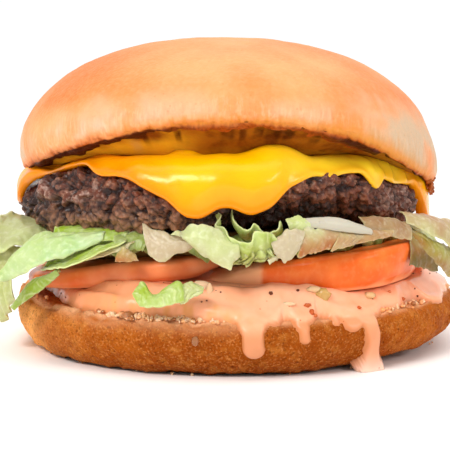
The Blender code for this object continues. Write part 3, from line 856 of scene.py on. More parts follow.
def make_patty(look):
    """The patty's skin pushed out into crumbled meat. A crumb is a dome over each random seed, which falls with the
    square of the distance to it; crumbs of 4, 2 and 1 mm are added up, two torn lumps stand out at the left and two
    worn craters go in beside them. Where the slice lies on it, the meat is pressed flat."""
    steps = np.concatenate([np.arange(-176, -4, 0.44), np.arange(-4, 184, 1.2)])
    end = PATTY_WALK[0][-1]
    travel = np.concatenate([np.linspace(0, 40, 14), np.arange(40.6, 71.0, 0.32), np.linspace(71.5, end, 12)])
    angle, travelled = np.meshgrid(steps, travel)
    base = patty_skin(angle, travelled)
    bent = base + 0.9 * np.stack([rough(base, 2.4, seed, 3) for seed in (51, 52, 53)], axis=-1)
    relief = np.zeros(base.shape[:-1])
    cleft = np.zeros(base.shape[:-1])
    for size, depth, seed in PATTY_CRUMBS:
        first, second = grains(bent, size, seed)
        relief += depth * (0.75 - 1.5 * np.minimum(first, 0.9) ** 2)
        cleft += (1 - smooth(second - first, 0.0, 0.3)) * (0.45 if size > 1.5 else 0.2)
    relief += 0.9 * rough(base, 7.0, 75, 3) + 0.4 * rough(base, 0.9, 77) - 0.8
    high = base[..., 2] + 1.2 * rough(base, 5.0, 79)
    crater = near(angle, -158.0, 5, 13) * hump(high, 39.5, 4.5) + 0.6 * near(angle, -134, 8, 22) * hump(high, 35.6, 1.6)
    torn = near(angle, -143.5, 2, 9) * hump(high, 39.8, 2.6) + near(angle, -127.0, 3, 10) * hump(high, 38.6, 1.6)
    relief += 1.2 * torn - 1.2 * crater + 0.8 * near(angle, -12, 8, 24)
    side = smooth(travelled, 38.0, 46.0)
    covered = 1 - smooth(travelled - cheese_reach(angle), -1.4, 1.0)
    relief = relief * (0.3 + 0.7 * side)
    relief = relief * (1 - covered) + (np.minimum(relief, 0.0) * 0.4 - 0.3) * covered
    skirt = near(angle, -176.0, 12.0, 24.0) * (1 - smooth(travelled - cheese_reach(angle), 1.5, 5.0))
    relief = np.maximum(relief, -3.2 + 2.8 * skirt)  # the slice clings to the meat at the far left
    rings = above(patty_skin, angle, travelled, np.clip(relief, -3.2, 2.4))
    # painted shade under the front right edge
    under = near(angle, -73.0, 12, 24) * (1 - smooth(base[..., 2], 34.0, 37.5))
    low = near(angle, -130.0, 25, 50) * (1 - smooth(base[..., 2], 31.0, 38.0))
    # painted shade in patches at the left end, and with the clefts, the sunken places and the craters in the mark below
    shaded = 0.35 * near(angle, -152.0, 14, 34) * smooth(rough(base, 3.0, 80), -0.4, 0.4) * side
    dark = cleft * (1 - 0.5 * torn) + 0.9 * smooth(-relief, 0.2, 1.6) + 0.9 * under + 0.5 * crater + shaded
    # partly wet fat and partly a painted sheen on the torn lumps and at the right
    wet = torn + 0.7 * near(angle, -24, 6, 22) * hump(base[..., 2], 37.0, 3.0)
    marks = {"cleft": np.clip(dark, 0, 1), "grey": np.clip(low, 0, 1), "wet": np.clip(wet, 0, 1)}
    round_piece("ground_beef_patty", rings, look, marks, ("patty",))


# ---------------------------------------------------------------- cheese


def cheese_reach(angle):
    """From the middle of the slice over the patty to its edge: the spread sides, the lobes beyond them and a fine
    waviness."""
    lobes = sum(further * near(angle, turn, start, stop) for turn, further, start, stop in CHEESE_LOBES)
    wave = 0.12 * np.sin(np.radians(23 * angle)) + 0.1 * np.sin(np.radians(41 * angle + 60))
    return CHEESE_MELTED_REACH + lobes + wave * smooth(turn_between(angle, -92.0), 12, 30)


def drape(angle, travelled):
    """The patty as the cheese meets it: flat on top, an arc round the edge, then nearly straight down."""
    flat = patty_radius(angle) - PATTY_EDGE
    dx, y = polar(np.minimum(travelled, flat), angle)
    height = patty_top(PATTY_CENTRE_X + dx, y)
    hang = math.radians(84.0)
    bend = np.clip((travelled - flat) / PATTY_EDGE, 0.0, hang)
    straight = np.maximum(0.0, travelled - flat - PATTY_EDGE * hang)
    radius = np.minimum(travelled, flat) + PATTY_EDGE * np.sin(bend) + straight * math.cos(hang)
    height = height - PATTY_EDGE * (1.0 - np.cos(bend)) - straight * math.sin(hang)
    dx, y = polar(radius, angle)
    return stacked(PATTY_CENTRE_X + dx, y, height)


def make_cheese(look):
    """A sheet over the draped skin: its outer side stands its thickness off, its edge is rounded and its inner side
    lies on the skin. It thins by 0.9 mm towards its edge, swells by noise of 13 mm, rises in soft folds where it bends
    over the meat, puckers at the right and has a ridge along its edge at the left front."""
    steps = np.arange(0, 360, 0.8)
    outer = np.concatenate([np.linspace(0, 0.7, 12), np.linspace(0.715, 1.0, 72)])
    edge = np.radians(np.linspace(80, -80, 9))
    inner = np.concatenate([np.linspace(1.0, 0.8, 22), np.linspace(0.76, 0, 8)])
    share = np.concatenate([outer, np.ones(len(edge)), inner])[:, None]
    level = np.concatenate([np.ones(len(outer)), 0.5 + 0.5 * np.sin(edge), np.zeros(len(inner))])[:, None]
    round_out = np.concatenate([0 * outer, np.cos(edge), 0 * inner])[:, None]
    angle = np.repeat(steps[None], len(share), axis=0)
    reach = cheese_reach(angle)
    travelled = share * (reach - 0.8)
    to_edge = reach - 0.8 - travelled
    around = drape(angle, np.minimum(travelled, 50.0))
    hangs = smooth(travelled, 40, 46)
    thinning = -0.9 * (1 - smooth(to_edge, 0.5, 5.0)) * hangs * (1 - 0.8 * near(angle, -14.0, 8.0, 16.0))
    swell = 0.5 * rough(around, 13.0, 81, 2) * smooth(travelled, 25, 40) * (1 - 0.8 * near(angle, -103.0, 8.0, 16.0))
    fold = 2.6 * near(angle, -74.0, 1.0, 12.0) * hump(travelled, 45.4, 2.8)
    fold = fold + 1.3 * near(angle, -99.5, 1.0, 6.0) * hump(travelled, 43.6, 2.0)
    fold = fold + 2.0 * near(angle, -172.0, 10.0, 24.0) * hump(travelled, 45.5, 4.5)
    fold = fold + 0.9 * near(angle, -10.0, 6.0, 14.0) * smooth(travelled, 46.0, 51.0)
    fold = fold + 1.7 * near(angle, -26.0, 8.0, 22.0) * hump(travelled, 45.0, 4.0)
    lip = near(angle, -104.0, 5.0, 12.0)
    thinning = thinning * (1 - lip)
    ridge = 0.35 * lip * (1 - smooth(to_edge, 1.4, 5.2))
    pucker = 0.6 * near(angle, -36.0, 8.0, 18.0) * rough(around, 2.8, 83, 2) * smooth(travelled, 44, 48)
    thickness = CHEESE_THICKNESS + thinning + swell + fold + ridge + pucker
    travelled = travelled + 0.8 * round_out
    rings = above(drape, angle, travelled, CHEESE_GAP + np.maximum(thickness, CHEESE_THINNEST) * level)
    # partly the cheese's own orange near its thin hanging edge and partly painted shade where it turns under; the
    # second part is painted shade below the crown at the left front
    low = (1 - smooth(to_edge, 1.0, 9.0)) * hangs * 0.75
    low = low + 0.7 * near(angle, -120, 10, 26) * (1 - smooth(travelled, 44, 48))
    thin = hump(to_edge, 0.0, 1.2) * hangs * 0.7
    # painted light: brighter at the right front, where the orange of the low mark is held back
    sun = near(angle, -48.0, 16.0, 34.0) * smooth(travelled, 38.0, 43.0)
    low = np.clip(low, 0, 1) * (1 - 0.85 * sun)
    marks = {"thin": thin * (1 - 0.5 * sun), "low": low, "sun": sun}
    round_piece("melted_cheese_slice", rings, look, marks, ("cheese_slice",))


# Spots of painted shade along the top of the drawn-out film, where it is torn through: angle and half width in degrees.
FILM_HOLES = ((-112, 1.0), (-103, 1.0), (-90, 2.0), (-86, 1.0), (-82, 1.5), (-78, 2.5), (-74, 1.5), (-66, 1.5))


def make_film(look):
    """A curtain between the slice and the crown at the front: blended from an arc just inside the crown's cut edge
    down to an arc on the slice, bowed inwards as sin(pi t) and rumpled."""
    angle, share = np.meshgrid(np.linspace(-178, -8, 420), np.linspace(0, 1, 24))
    top = crown_place(FILM_TOP_SHARE, angle, 0.6) + np.array([0, 0, 0.3])
    from_patty = top[..., 0] - PATTY_CENTRE_X
    turn, radius = np.degrees(np.arctan2(top[..., 1], from_patty)), np.hypot(from_patty, top[..., 1])
    travelled = np.minimum(radius - 1.4, FILM_FOOT_REACH)
    bottom = above(drape, turn, travelled, FILM_AIR + CHEESE_THICKNESS - FILM_SINK)
    face = top + (bottom - top) * share[..., None]
    face = face - outward(angle) * (0.9 * np.sin(np.pi * share) - 0.35 * rough(face, 3.5, 87))[..., None]
    # painted shade: dark spots where the film is torn through, and a band along its top just under the crown
    holes = np.zeros(angle.shape)
    for centre, half in FILM_HOLES:
        holes = np.maximum(holes, near(angle, centre, 0.5 * half, 1.3 * half) * hump(share, 0.3, 0.24))
    holes = np.maximum(holes * (0.8 + 0.5 * rough(face, 1.6, 90)), 0.3 * (1 - smooth(share, 0.0, 0.12)))
    golden = smooth(share + 0.2 * rough(face, 4.0, 89), 0.1, 0.6) * near(angle, -126.0, 18, 32)
    golden = np.maximum(golden, 0.35 * smooth(share, 0.65, 1.0))
    flaw = 0.45 * near(angle, -115.5, 0.4, 2.2) * hump(share, 0.6, 0.22)
    marks = {"low": golden, "holes": np.clip(holes, 0, 1), "flaw": flaw}
    points, faces, marks = slab(face, face - outward(angle) * FILM_THICKNESS, marks)
    mesh_piece("browned_cheese_film", points, faces, look, marks)


# ---------------------------------------------------------------- sauce

# Where the pool ends: angle and how far past the heel's rim, in mm along the crust.
SAUCE_LIP = (
    (-180.0, 0.0), (-172.0, -2.8), (-160.0, -4.2), (-150.0, -4.0),
    (-142.0, -2.6), (-134.0, -0.6), (-118.0, -0.2), (-106.0, -0.6),
    (-96.0, 0.4), (-90.0, 1.4), (-83.0, 2.8), (-80.5, 1.8),
    (-79.0, 0.1), (-77.3, 0.6), (-76.0, 2.4), (-72.5, 1.8),
    (-70.5, -0.2), (-68.0, 0.8), (-65.0, 1.8), (-55.0, 1.8),
    (-52.5, 0.6), (-46.0, 0.2), (-40.0, -1.4), (-36.5, -1.0),
    (-33.0, 2.6), (-28.0, 3.4), (-20.0, 1.2), (0.0, 2.4),
    (18.0, 5.5), (34.0, 1.0), (62.0, 6.0), (80.0, 0.8),
    (104.0, 4.0), (124.0, 0.6), (146.0, 5.5),
)
# Drips down the crust: angle, how far past the rim, half width, how thick, the turn per mm on the way down, and how
# much its end spreads; lengths in mm.
SAUCE_DRIPS = (
    (-86.3, 10.6, 2.6, 1.15, 0.0, 0.0),
    (-75.4, 7.6, 1.5, 0.6, 0.12, 0.0),
    (-67.0, 3.4, 1.0, 0.35, 0.0, 0.0),
    (-62.6, 5.6, 2.6, 0.35, 0.0, 0.0),
    (-59.2, 17.6, 2.2, 0.9, 0.2, 2.6),
    (16.0, 9.0, 2.6, 1.5, 0.0, 0.0),
    (60.0, 11.5, 2.4, 1.5, 0.0, 0.0),
    (70.0, 6.0, 1.8, 1.1, 0.0, 0.0),
    (106.0, 8.0, 2.4, 1.4, 0.0, 0.0),
    (149.0, 11.0, 2.5, 1.5, 0.0, 0.0),
)


def slice_top(slice_, x):
    """The height of a tomato slice's upper face."""
    return slice_["top_z"] + slice_["rise"] * (x - slice_["centre"][0])


def slice_bottom(slice_, x):
    """The height of a tomato slice's lower face."""
    return slice_top(slice_, x) - slice_["thick"] - slice_["wedge"] * (x - slice_["centre"][0])


def sauce_mound(radius, angle):
    """How far the sauce swells up where the two slices meet."""
    return 3.6 * near(angle, -99.0, 6.0, 16.0) * hump(radius, 32.5, 3.6)


def sauce_depth(x, y):
    """Depth of the pool: 1.2 mm and 5.3 mm more inside a radius of 47.6 mm, falling away to 54.6 mm. It is pressed out
    from under the slices and climbs a little way up them."""
    radius = np.hypot(x, y)
    angle = np.degrees(np.arctan2(y, x))
    depth = 1.2 + 5.3 * (1 - smooth(radius, 47.6, 54.6))
    depth = depth + sauce_mound(radius, angle)
    for slice_ in (TOMATO_LEFT, TOMATO_RIGHT):
        away = np.hypot(x - slice_["centre"][0], y - slice_["centre"][1]) - slice_["radius"]
        room = slice_bottom(slice_, x) - heel_top(y) - 0.2
        climb = room + 1.6 * np.maximum(0.0, away + 1.6)
        depth = 0.5 * (depth + climb - np.hypot(depth - climb, 0.6))  # the lower of the two, rounded over
    return depth


def sauce_inside(angle, past):
    """How far inside the sauce's edge a place lies, in mm, how thick a drip is there, and how far inside the pool it
    lies. The pool ends at its lip; a drip is the reach of a rounded stroke, wider where it leaves the pool."""
    knots = np.array(SAUCE_LIP)
    turned = (angle + 180.0) % 360.0 - 180.0
    wander = 0.5 * rough(on_line(turned * 0.9), 5.0, 91, 2)
    inside = np.interp(turned, knots[:, 0], knots[:, 1], period=360) + wander - past
    pool = inside.copy()
    thick = np.zeros_like(inside)
    for drip_angle, length, half_width, drip_thick, drift, spread in SAUCE_DRIPS:
        away = np.radians((turned - drip_angle - drift * past + 180.0) % 360.0 - 180.0) * HEEL_RADIUS
        away = away + 0.3 * np.sin(past / 3.0 + drip_angle) * smooth(past, 2, 9)
        tip = length - half_width
        width = half_width * (1 + 0.5 * (1 - smooth(past, 0.0, 5.0)) - 0.1 * hump(past, 0.55 * length, 3.0))
        width = width + spread * hump(past, length - 1.2, 2.0)
        reach = width - np.hypot(away, np.maximum(past - tip, 0.0))
        bead = drip_thick * (0.75 + 0.45 * hump(past, tip, 0.35 * length))
        thick = np.maximum(thick, bead * smooth(reach, -1.0, 0.5))
        blend = np.clip(0.5 + 0.5 * (reach - inside) / SAUCE_BLEND, 0, 1)
        inside = inside + (reach - inside) * blend + 0.6 * blend * (1 - blend)
    return inside, thick * smooth(past, -1.5, 1.0), pool


def make_sauce(look):
    """The pool and its drips as one skin over the heel. Its outside rises from the crust as a quarter ellipse, so its
    edge is a rounded bead; the longest drip spreads into a foot on the table. Returns the points of its outside."""
    steps = np.concatenate([np.arange(-172, -26, 0.4), np.arange(-26, 188, 1.0)])
    travel = np.concatenate([[0.0], np.linspace(8, 36, 8), np.arange(37.0, RIM_TRAVEL - 5, 0.5)])
    travel = np.concatenate([travel, np.arange(RIM_TRAVEL - 5, HEEL_END - 49.6, 0.34)])
    angle, travelled = np.meshgrid(steps, travel)
    base = heel_skin(angle, travelled)
    past = travelled - RIM_TRAVEL
    inside, thick, pool = sauce_inside(angle, past)
    x, y = base[..., 0], base[..., 1]
    depth = sauce_depth(x, y)
    calm = 1 - 0.8 * near(angle, -20.0, 14.0, 28.0)
    depth = depth + 0.4 * calm * rough(base, 5.0, 95, 2) * smooth(np.hypot(x, y), 38, 46)
    depth = np.minimum(depth, 1.0 + (1.4 - 0.5 * near(angle, -155.0, 20.0, 40.0)) * np.maximum(pool, 0.0))
    over = smooth(past, -1.0, 2.5)
    depth = depth * (1 - over) + np.maximum(thick, 0.5 + 0.5 * smooth(pool, 0, 1.5)) * over
    roll = (0.5 + 0.8 * near(angle, -127.0, 5.0, 11.0)) * hump(pool, 1.4, 1.1) * (1 - over)
    edge = np.sqrt(np.clip(1 - (1 - np.clip(inside / SAUCE_EDGE, 0, 1)) ** 2, 0, 1))
    foot = hump(past, 16.6, 3.0) * near(angle, -57.0, 2.6, 6.6)
    height = -0.45 + (np.maximum(depth, 0.4) + 0.45 + roll) * edge + 3.4 * foot * edge
    lumps = np.zeros_like(height)
    first, _ = grains(base, 6.5, 97)
    lumps += 0.8 * calm * np.clip(0.45 - first, 0, 1) * smooth(inside, 0.5, 2.0)
    lumps += 0.1 * calm * rough(base, 1.6, 99) * smooth(inside, 0.4, 1.2)
    top = above(heel_skin, angle, travelled, height + lumps)
    top[..., 2] = np.maximum(top[..., 2], 0.05)
    bottom = above(heel_skin, angle, travelled, -0.7)
    bottom[..., 2] = np.maximum(bottom[..., 2], 0.02)
    wet = np.concatenate([inside, inside[:, :1]], axis=1) > 0
    keep = wet[:-1, :-1] | wet[1:, :-1] | wet[1:, 1:] | wet[:-1, 1:]
    film = np.clip(1 - smooth(height, 0.25, 1.0), 0, 1)
    crumbs = np.clip(near(angle, -106, 10, 24) * hump(pool, 0.6, 1.6) * (0.4 + rough(base, 1.3, 101)), 0, 1)
    shade = smooth(past, 2.0, 6.0) * (1 - 0.45 * near(angle, -60.0, 8.0, 18.0))
    # painted highlight on the drip's foot and painted light on the swell between the tomato slices
    pale = np.clip(1.3 * foot * edge + 0.28 * sauce_mound(np.hypot(x, y), angle), 0, 1)
    warm = 0.6 * near(angle, -148.0, 22.0, 50.0) * (1 - 0.5 * shade)
    marks = {"film": film, "crumbs": crumbs, "runs": shade, "foot": pale, "warm": warm}
    points, faces, marks = slab(top, bottom, marks, keep, closed=True, pole=True)
    mesh_piece("burger_sauce", points, faces, look, marks, ("sauce",))
    return top[inside > 0.4]


# ---------------------------------------------------------------- tomatoes

SLICE_OUTLINE = ((0.0, 1.0), (0.97, 1.0), (1.0, 0.85), (1.0, 0.2), (0.96, 0.0), (0.0, 0.0))


def make_tomato(name, node, slice_, look):
    """A round slice, thicker to the right, with rounded edges and an uneven, bulging rim that is drawn out into a
    tip."""
    turn, start, stop_turn, share_out, closing = slice_["tip"]
    full = slice_["radius"]
    distance, share, level = walked(SLICE_OUTLINE, full, slice_["thick"], 1.2)
    end = distance[-1]
    rim_stops = np.arange(full - 2.6, end - full + 3, 0.4)
    stops = np.concatenate([np.linspace(0, full - 3, 8), rim_stops, [end - 10, end]])
    steps = np.arange(0, 360, 1.5)
    angle, stop = np.meshgrid(steps, stops)
    wobble = 1 + 0.012 * rough(4.0 * outward(angle), 2.6, 111, 2)
    wobble += share_out * near(angle, turn, start, stop_turn)
    across = np.interp(stop, distance, level)
    wobble -= slice_["slant"] * (1 - across) * near(angle, -14.0, 20.0, 60.0)
    radius = full * np.interp(stop, distance, share) * wobble
    dx, dy = polar(radius, angle)
    x, y = slice_["centre"][0] + dx, slice_["centre"][1] + dy
    beyond = closing * np.maximum(0.0, radius - full)
    low, high = slice_bottom(slice_, x) + beyond, slice_top(slice_, x) - beyond
    if slice_ is TOMATO_LEFT:  # its end lies on the other slice
        low = np.maximum(low, low + (slice_top(TOMATO_RIGHT, x) - 0.8 - low) * smooth(x, -10.0, -3.0))
        high = np.maximum(high, low + 1.2)
    rings = stacked(x, y, low + (high - low) * across)
    rim = smooth(radius, full - 3, full - 1)
    bulge = 0.5 * np.sin(np.pi * across) * rim + 0.25 * rim * rough(rings, 5.0, 113, 2)
    rings = rings + outward(angle) * bulge[..., None]
    film = 1 - smooth(x + 1.2 * rough(rings, 2.5, 115), slice_["film_end"] - 0.8, slice_["film_end"] + 0.8)
    film = np.maximum(film, (1 - smooth(across, 0.0, 0.22 + 0.15 * rough(rings, 4.0, 117))) * 0.7)
    film = np.maximum(film, slice_["veil"] * (0.6 + 0.6 * rough(rings, 6.0, 119, 2)))
    skin = hump(turn_between(angle, -28.0), 0.0, 1.8) * smooth(radius, full - 4, full - 1)
    marks = {"film": np.clip(film, 0, 1), "skin": np.clip(skin, 0, 1), "low": 1 - across}
    round_piece(name, rings, look, marks, (node,))


# ---------------------------------------------------------------- lettuce


def leaf(upper, lower, bulge=1.0, ruffle=0.5, pleat=0.05, frill=(0.0, 0.0), seed=1, thick=0.4, size=(60, 22), **tints):
    """A leaf between two edges, each a curve through a few points: direction, distance from the burger's axis and
    height. It is blended from edge to edge, blown out by bulge in the middle as sin(pi t), rumpled by noise of 5 and
    1.5 mm, folded by uneven pleats that run along it, and frilled along its upper and lower edge by waves of that
    height. tints are the shares of green, white, sauce and so on at its upper and its lower edge."""
    along = np.linspace(0, 1, size[0])
    share = np.linspace(0, 1, size[1])[:, None]
    edges = [through(edge, along) for edge in (upper, lower)]
    top, bottom = (stacked(*polar(edge[:, 1], edge[:, 0]), edge[:, 2]) for edge in edges)
    across = bottom - top
    flat = top * (1 - share[..., None]) + bottom * share[..., None]
    nick = rough(on_line(along * 9), 1.0, seed, 2)
    flat = flat + (across * 0.09 * nick[:, None]) * (2 * share[..., None] - 1)
    normal = normals_of(flat)
    facing = np.sign(np.sum(normal[..., :2] * flat[..., :2]) + 1e-9)
    normal = normal * facing
    rumple = rough(flat, 5.0, seed + 1, 2) + 0.15 * rough(flat, 1.5, seed + 3, 1)
    wave = np.sin(2 * np.pi * along * (3 + seed % 4) + seed)
    lift = bulge * np.sin(np.pi * share) + ruffle * rumple * (0.5 + 0.5 * (2 * share - 1) ** 2)
    lift = lift + wave * (frill[0] * (1 - share) ** 2 + frill[1] * share**2)
    flow = along * 2.2 + 0.9 * (2 * share - 1) * np.where(share > 0.5, 1, -1) + 1.1 * rough(flat, 7.0, seed + 5)
    vein = (1 - smooth(np.abs(flow % 1 - 0.5), 0.01, 0.10)) * np.clip(0.5 + rough(flat, 4.0, seed + 6), 0, 1)
    lift = lift + pleat * np.sin(2 * np.pi * (flow * 1.6 + 0.5 * rough(flat, 5.0, seed + 9)))
    lift = lift + 0.1 * vein + 0.05 * rough(flat, 0.9, seed + 8)
    place = flat + normal * lift[..., None]
    ends = np.minimum(np.minimum(share, 1 - share) * 2.2, np.minimum(along, 1 - along) * 6)
    # the edge mark is partly the paler cut edge and partly painted highlight
    marks = {"edge": 1 - smooth(ends, 0.0, 0.16), "vein": vein * 0.8}
    clouds = rough(flat, 3.5, seed + 7)
    # the dark tint is painted shade on leaves under or behind others
    for tint in ("green", "white", "mint", "sauce", "dark"):
        first, last = tints.get(tint, (0.0, 0.0))
        marks[tint] = np.clip(first + (last - first) * share + 0.25 * min(first + last, 1) * clouds, 0, 1)
    half = normals_of(place) * facing * (0.5 * thick * (0.4 + 0.6 * smooth(ends, 0.0, 0.12)))[..., None]
    outside, inside = place + half, place - half
    if facing < 0:
        outside, inside = outside[:, ::-1], inside[:, ::-1]
        marks = {key: np.broadcast_to(values, place.shape[:2])[:, ::-1] for key, values in marks.items()}
    return slab(outside, inside, marks)


# Leaves that stand out at the front and sides: upper edge, lower edge and how they are shaped and tinted.
LEFT_LEAVES = (
    dict(
        upper=((-126, 48, 29.5), (-135, 52.5, 29.5), (-143, 56.5, 29.5), (-146, 65, 19.5)),
        lower=((-124.5, 51, 28), (-133, 58.5, 24), (-145, 65, 18.5)),
        bulge=1.6, ruffle=0.8, pleat=0.16, seed=3, green=(0.4, 0.2), mint=(0.2, 0.7),
    ),
    dict(
        upper=((-119, 49, 29.5), (-138, 57, 23)),
        lower=((-117.5, 52, 29), (-128, 58.5, 23.5), (-138, 58.5, 21.5)),
        bulge=-0.3, ruffle=0.4, pleat=0.12, seed=8, green=(1.0, 0.7), white=(0.0, 0.1),
    ),
)
FAR_LEFT_LEAVES = (
    dict(
        upper=((-160, 48, 31.5), (-160, 56, 33), (-155.5, 62.5, 32.5)),
        lower=((-145, 52.5, 27.5), (-147.5, 60.5, 26), (-154, 65.5, 22)),
        bulge=1.2, ruffle=0.8, seed=12, green=(0.1, 0.35), white=(0.6, 0.2), dark=(0.3, 0.1),
    ),
    dict(
        upper=((-149, 58, 26.5), (-155, 63, 25.5), (-169, 61, 24)),
        lower=((-148.5, 59.5, 13.5), (-157, 60.5, 8), (-170.5, 61.5, 12)),
        bulge=1.6, ruffle=0.7, frill=(0.0, 0.6), seed=15, green=(0.45, 0.25), white=(0.3, 0.3), sauce=(0.1, 0.0),
    ),
)
RIGHT_LEAVES = (
    dict(
        upper=((-39, 49, 34), (-32, 53.5, 33), (-22, 58.5, 31.5)),
        lower=((-41.5, 52, 31.5), (-34.5, 56.5, 28.5), (-24.5, 60, 23)),
        bulge=1.0, ruffle=0.6, seed=18, green=(0.05, 0.3), white=(0.8, 0.5), sauce=(0.5, 0.3),
    ),
    dict(
        upper=((-40, 51, 31), (-33.5, 55, 28), (-24.5, 58, 24.5)),
        lower=((-41, 53, 27.5), (-35, 56, 22.5), (-25, 57.5, 18)),
        bulge=0.8, ruffle=0.6, seed=22, green=(0.9, 0.7), sauce=(0.35, 0.85), dark=(0.0, 0.3),
    ),
)
SCRAP_LEFT = dict(
    upper=((-133.5, 56.5, 21.5), (-139.5, 60, 19), (-145.5, 61.5, 12.5)),
    lower=((-132, 58, 21), (-136.5, 61, 16.5), (-144, 62, 12)),
    bulge=0.8, ruffle=0.2, seed=26, green=(1.2, 1.2), dark=(0.35, 0.3), thick=0.6,
)
SCRAP_FRONT = (
    dict(
        upper=((-113, 56.5, 18), (-111, 55, 20.5), (-108, 55.5, 18), (-103, 55.5, 21), (-101.5, 55.5, 19.5)),
        lower=((-110.5, 57.5, 15.5), (-106, 58.5, 15.5), (-100.5, 57.5, 17)),
        bulge=0.5, ruffle=0.8, pleat=0.12, seed=31, green=(0.85, 0.9), thick=0.5,
    ),
    dict(
        upper=((-102, 55.5, 19.5), (-100, 55, 21), (-97, 55, 19.5)),
        lower=((-101.5, 58, 16.5), (-97, 56, 18.5)),
        bulge=0.5, ruffle=0.7, pleat=0.12, seed=33, green=(0.4, 0.5), white=(0.3, 0.3), thick=0.5,
    ),
)
HEAP_LEAVES = (
    # green leaf tucked under the patty, and the folds below it
    dict(
        upper=((-119, 46, 31), (-143, 51, 31.5)),
        lower=((-119, 50, 28.5), (-139, 54.5, 28.5)),
        bulge=0.8, ruffle=0.4, seed=41, green=(1.3, 1.0),
    ),
    dict(
        upper=((-116, 49.5, 28.5), (-128, 53.5, 25)),
        lower=((-117, 51.5, 27), (-127, 54.5, 24)),
        bulge=0.5, ruffle=0.2, seed=44, white=(0.8, 0.7), sauce=(0.15, 0.3),
    ),
    dict(
        upper=((-112, 46, 31), (-123, 49.5, 30)),
        lower=((-114, 49.5, 26.5), (-120, 52, 26.5)),
        bulge=0.6, ruffle=0.3, seed=47, green=(0.6, 0.7), dark=(0.3, 0.3),
    ),
    dict(
        upper=((-116.5, 50.5, 26), (-118, 52, 27.5), (-119, 51.5, 26.5)),
        lower=((-114, 51.5, 24.5), (-120, 52.5, 24)),
        bulge=0.5, ruffle=0.3, seed=49, green=(0.2, 0.0), sauce=(0.5, 0.9),
    ),
    dict(
        upper=((-123, 47.5, 30.5), (-139, 50.5, 29.5)),
        lower=((-123, 50, 25.5), (-138, 52.5, 24.5)),
        bulge=0.4, ruffle=0.3, seed=88, green=(0.8, 0.8), dark=(0.35, 0.45),
    ),
    # greyish cabbage-white piece and the broad ruffle beside it
    dict(
        upper=((-113, 51.5, 33), (-108, 52, 31), (-100.5, 52.5, 30)),
        lower=((-110, 54, 26), (-107, 54, 25), (-99, 52.5, 28)),
        bulge=0.9, ruffle=0.25, seed=52, white=(1.0, 1.0), sauce=(0.0, 0.12),
    ),
    dict(
        upper=((-105, 53, 30.5), (-97, 54, 33), (-90, 53.5, 29)),
        lower=((-102, 54, 30), (-97, 55, 26.5), (-92, 56.5, 24), (-89, 55, 26.5)),
        bulge=1.2, ruffle=0.35, seed=55, green=(0.18, 0.1), white=(0.3, 0.45), mint=(0.3, 0.0),
    ),
    # three frills with thin bright edges
    dict(
        upper=((-94, 49, 36), (-93.5, 52, 32.5), (-88.5, 55.5, 29.5), (-85, 55.5, 31.5), (-80.5, 54.5, 30)),
        lower=((-92.5, 47, 30), (-91, 51, 26.5), (-87, 52.5, 25), (-80.5, 51.5, 27)),
        bulge=0.8, ruffle=0.5, frill=(0.5, 0.8), pleat=0.15, seed=58, green=(0.5, 0.6), sauce=(0.0, 0.2),
        size=(80, 20),
    ),
    dict(
        upper=((-91.5, 48, 36.5), (-88.5, 53, 32), (-85.5, 54, 33), (-81.5, 53.5, 31), (-79, 52, 33.5)),
        lower=((-89.5, 45, 33), (-88, 47, 29.5), (-85, 48, 29), (-78, 48, 30)),
        bulge=0.6, ruffle=0.4, frill=(0.3, 0.0), seed=61, green=(0.6, 0.9), dark=(0.0, 0.4), size=(80, 16),
    ),
    dict(
        upper=((-90.5, 52.5, 28.5), (-86, 54, 28.5), (-82, 53.5, 28)),
        lower=((-90, 52, 24.5), (-86, 53, 24.5), (-81, 52, 26)),
        bulge=1.2, ruffle=1.5, frill=(0.7, 1.1), pleat=0.5, seed=64, green=(0.4, 0.5), sauce=(0.1, 0.3),
        dark=(0.0, 0.2), size=(80, 24),
    ),
    # cream pieces, stained by the sauce towards the right
    dict(
        upper=((-82, 54, 29), (-78, 54.5, 32), (-74, 53.5, 31.5)),
        lower=((-81.5, 55, 27), (-79, 56, 25), (-76, 55.5, 27.5)),
        bulge=0.9, ruffle=0.2, seed=67, white=(0.9, 1.0), green=(0.12, 0.0),
    ),
    dict(
        upper=((-83, 55, 25.5), (-79.5, 54.5, 27)),
        lower=((-82.5, 55, 24.5), (-79.5, 55, 26.5)),
        bulge=0.2, ruffle=0.1, seed=69, white=(0.8, 0.9), size=(12, 6),
    ),
    dict(
        upper=((-78, 51.5, 33.5), (-75, 51.5, 34.5), (-72.5, 52, 33.5)),
        lower=((-77.5, 53, 31.5), (-72, 53, 31)),
        bulge=0.5, ruffle=0.5, seed=71, green=(0.35, 0.3), white=(0.2, 0.3),
    ),
    dict(
        upper=((-74, 53, 32), (-64, 52, 31.5)),
        lower=((-76.5, 55.5, 26), (-67.5, 54, 27.5)),
        bulge=0.9, ruffle=0.3, seed=74, white=(0.75, 0.4), sauce=(0.0, 1.2), green=(0.12, 0.0),
    ),
    dict(
        upper=((-64.5, 52.5, 31), (-56.5, 52.5, 30.5)),
        lower=((-68, 54.5, 27), (-61.5, 54, 28)),
        bulge=0.7, ruffle=0.3, seed=77, white=(0.7, 0.7), sauce=(0.55, 0.6),
    ),
    dict(
        upper=((-60, 52, 31), (-47.5, 52.5, 30.5)),
        lower=((-62.5, 54, 28), (-49, 53.5, 29.5)),
        bulge=0.6, ruffle=0.3, seed=80, white=(0.6, 0.5), sauce=(0.55, 0.8),
    ),
    # limp translucent pieces in front of the right tomato's end
    dict(
        upper=((-57, 50, 34), (-50, 51, 33.5), (-40, 52, 32)),
        lower=((-56, 51.5, 30.5), (-42, 54, 28)),
        bulge=0.6, ruffle=0.4, seed=83, white=(0.85, 0.8), sauce=(0.7, 0.55), dark=(0.3, 0.1),
    ),
    dict(
        upper=((-42, 53, 29), (-33, 55, 26)),
        lower=((-43, 54, 22.5), (-32.5, 56, 20)),
        bulge=0.6, ruffle=0.7, seed=86, green=(0.8, 0.2), sauce=(0.8, 1.4), dark=(0.4, 0.7),
    ),
)


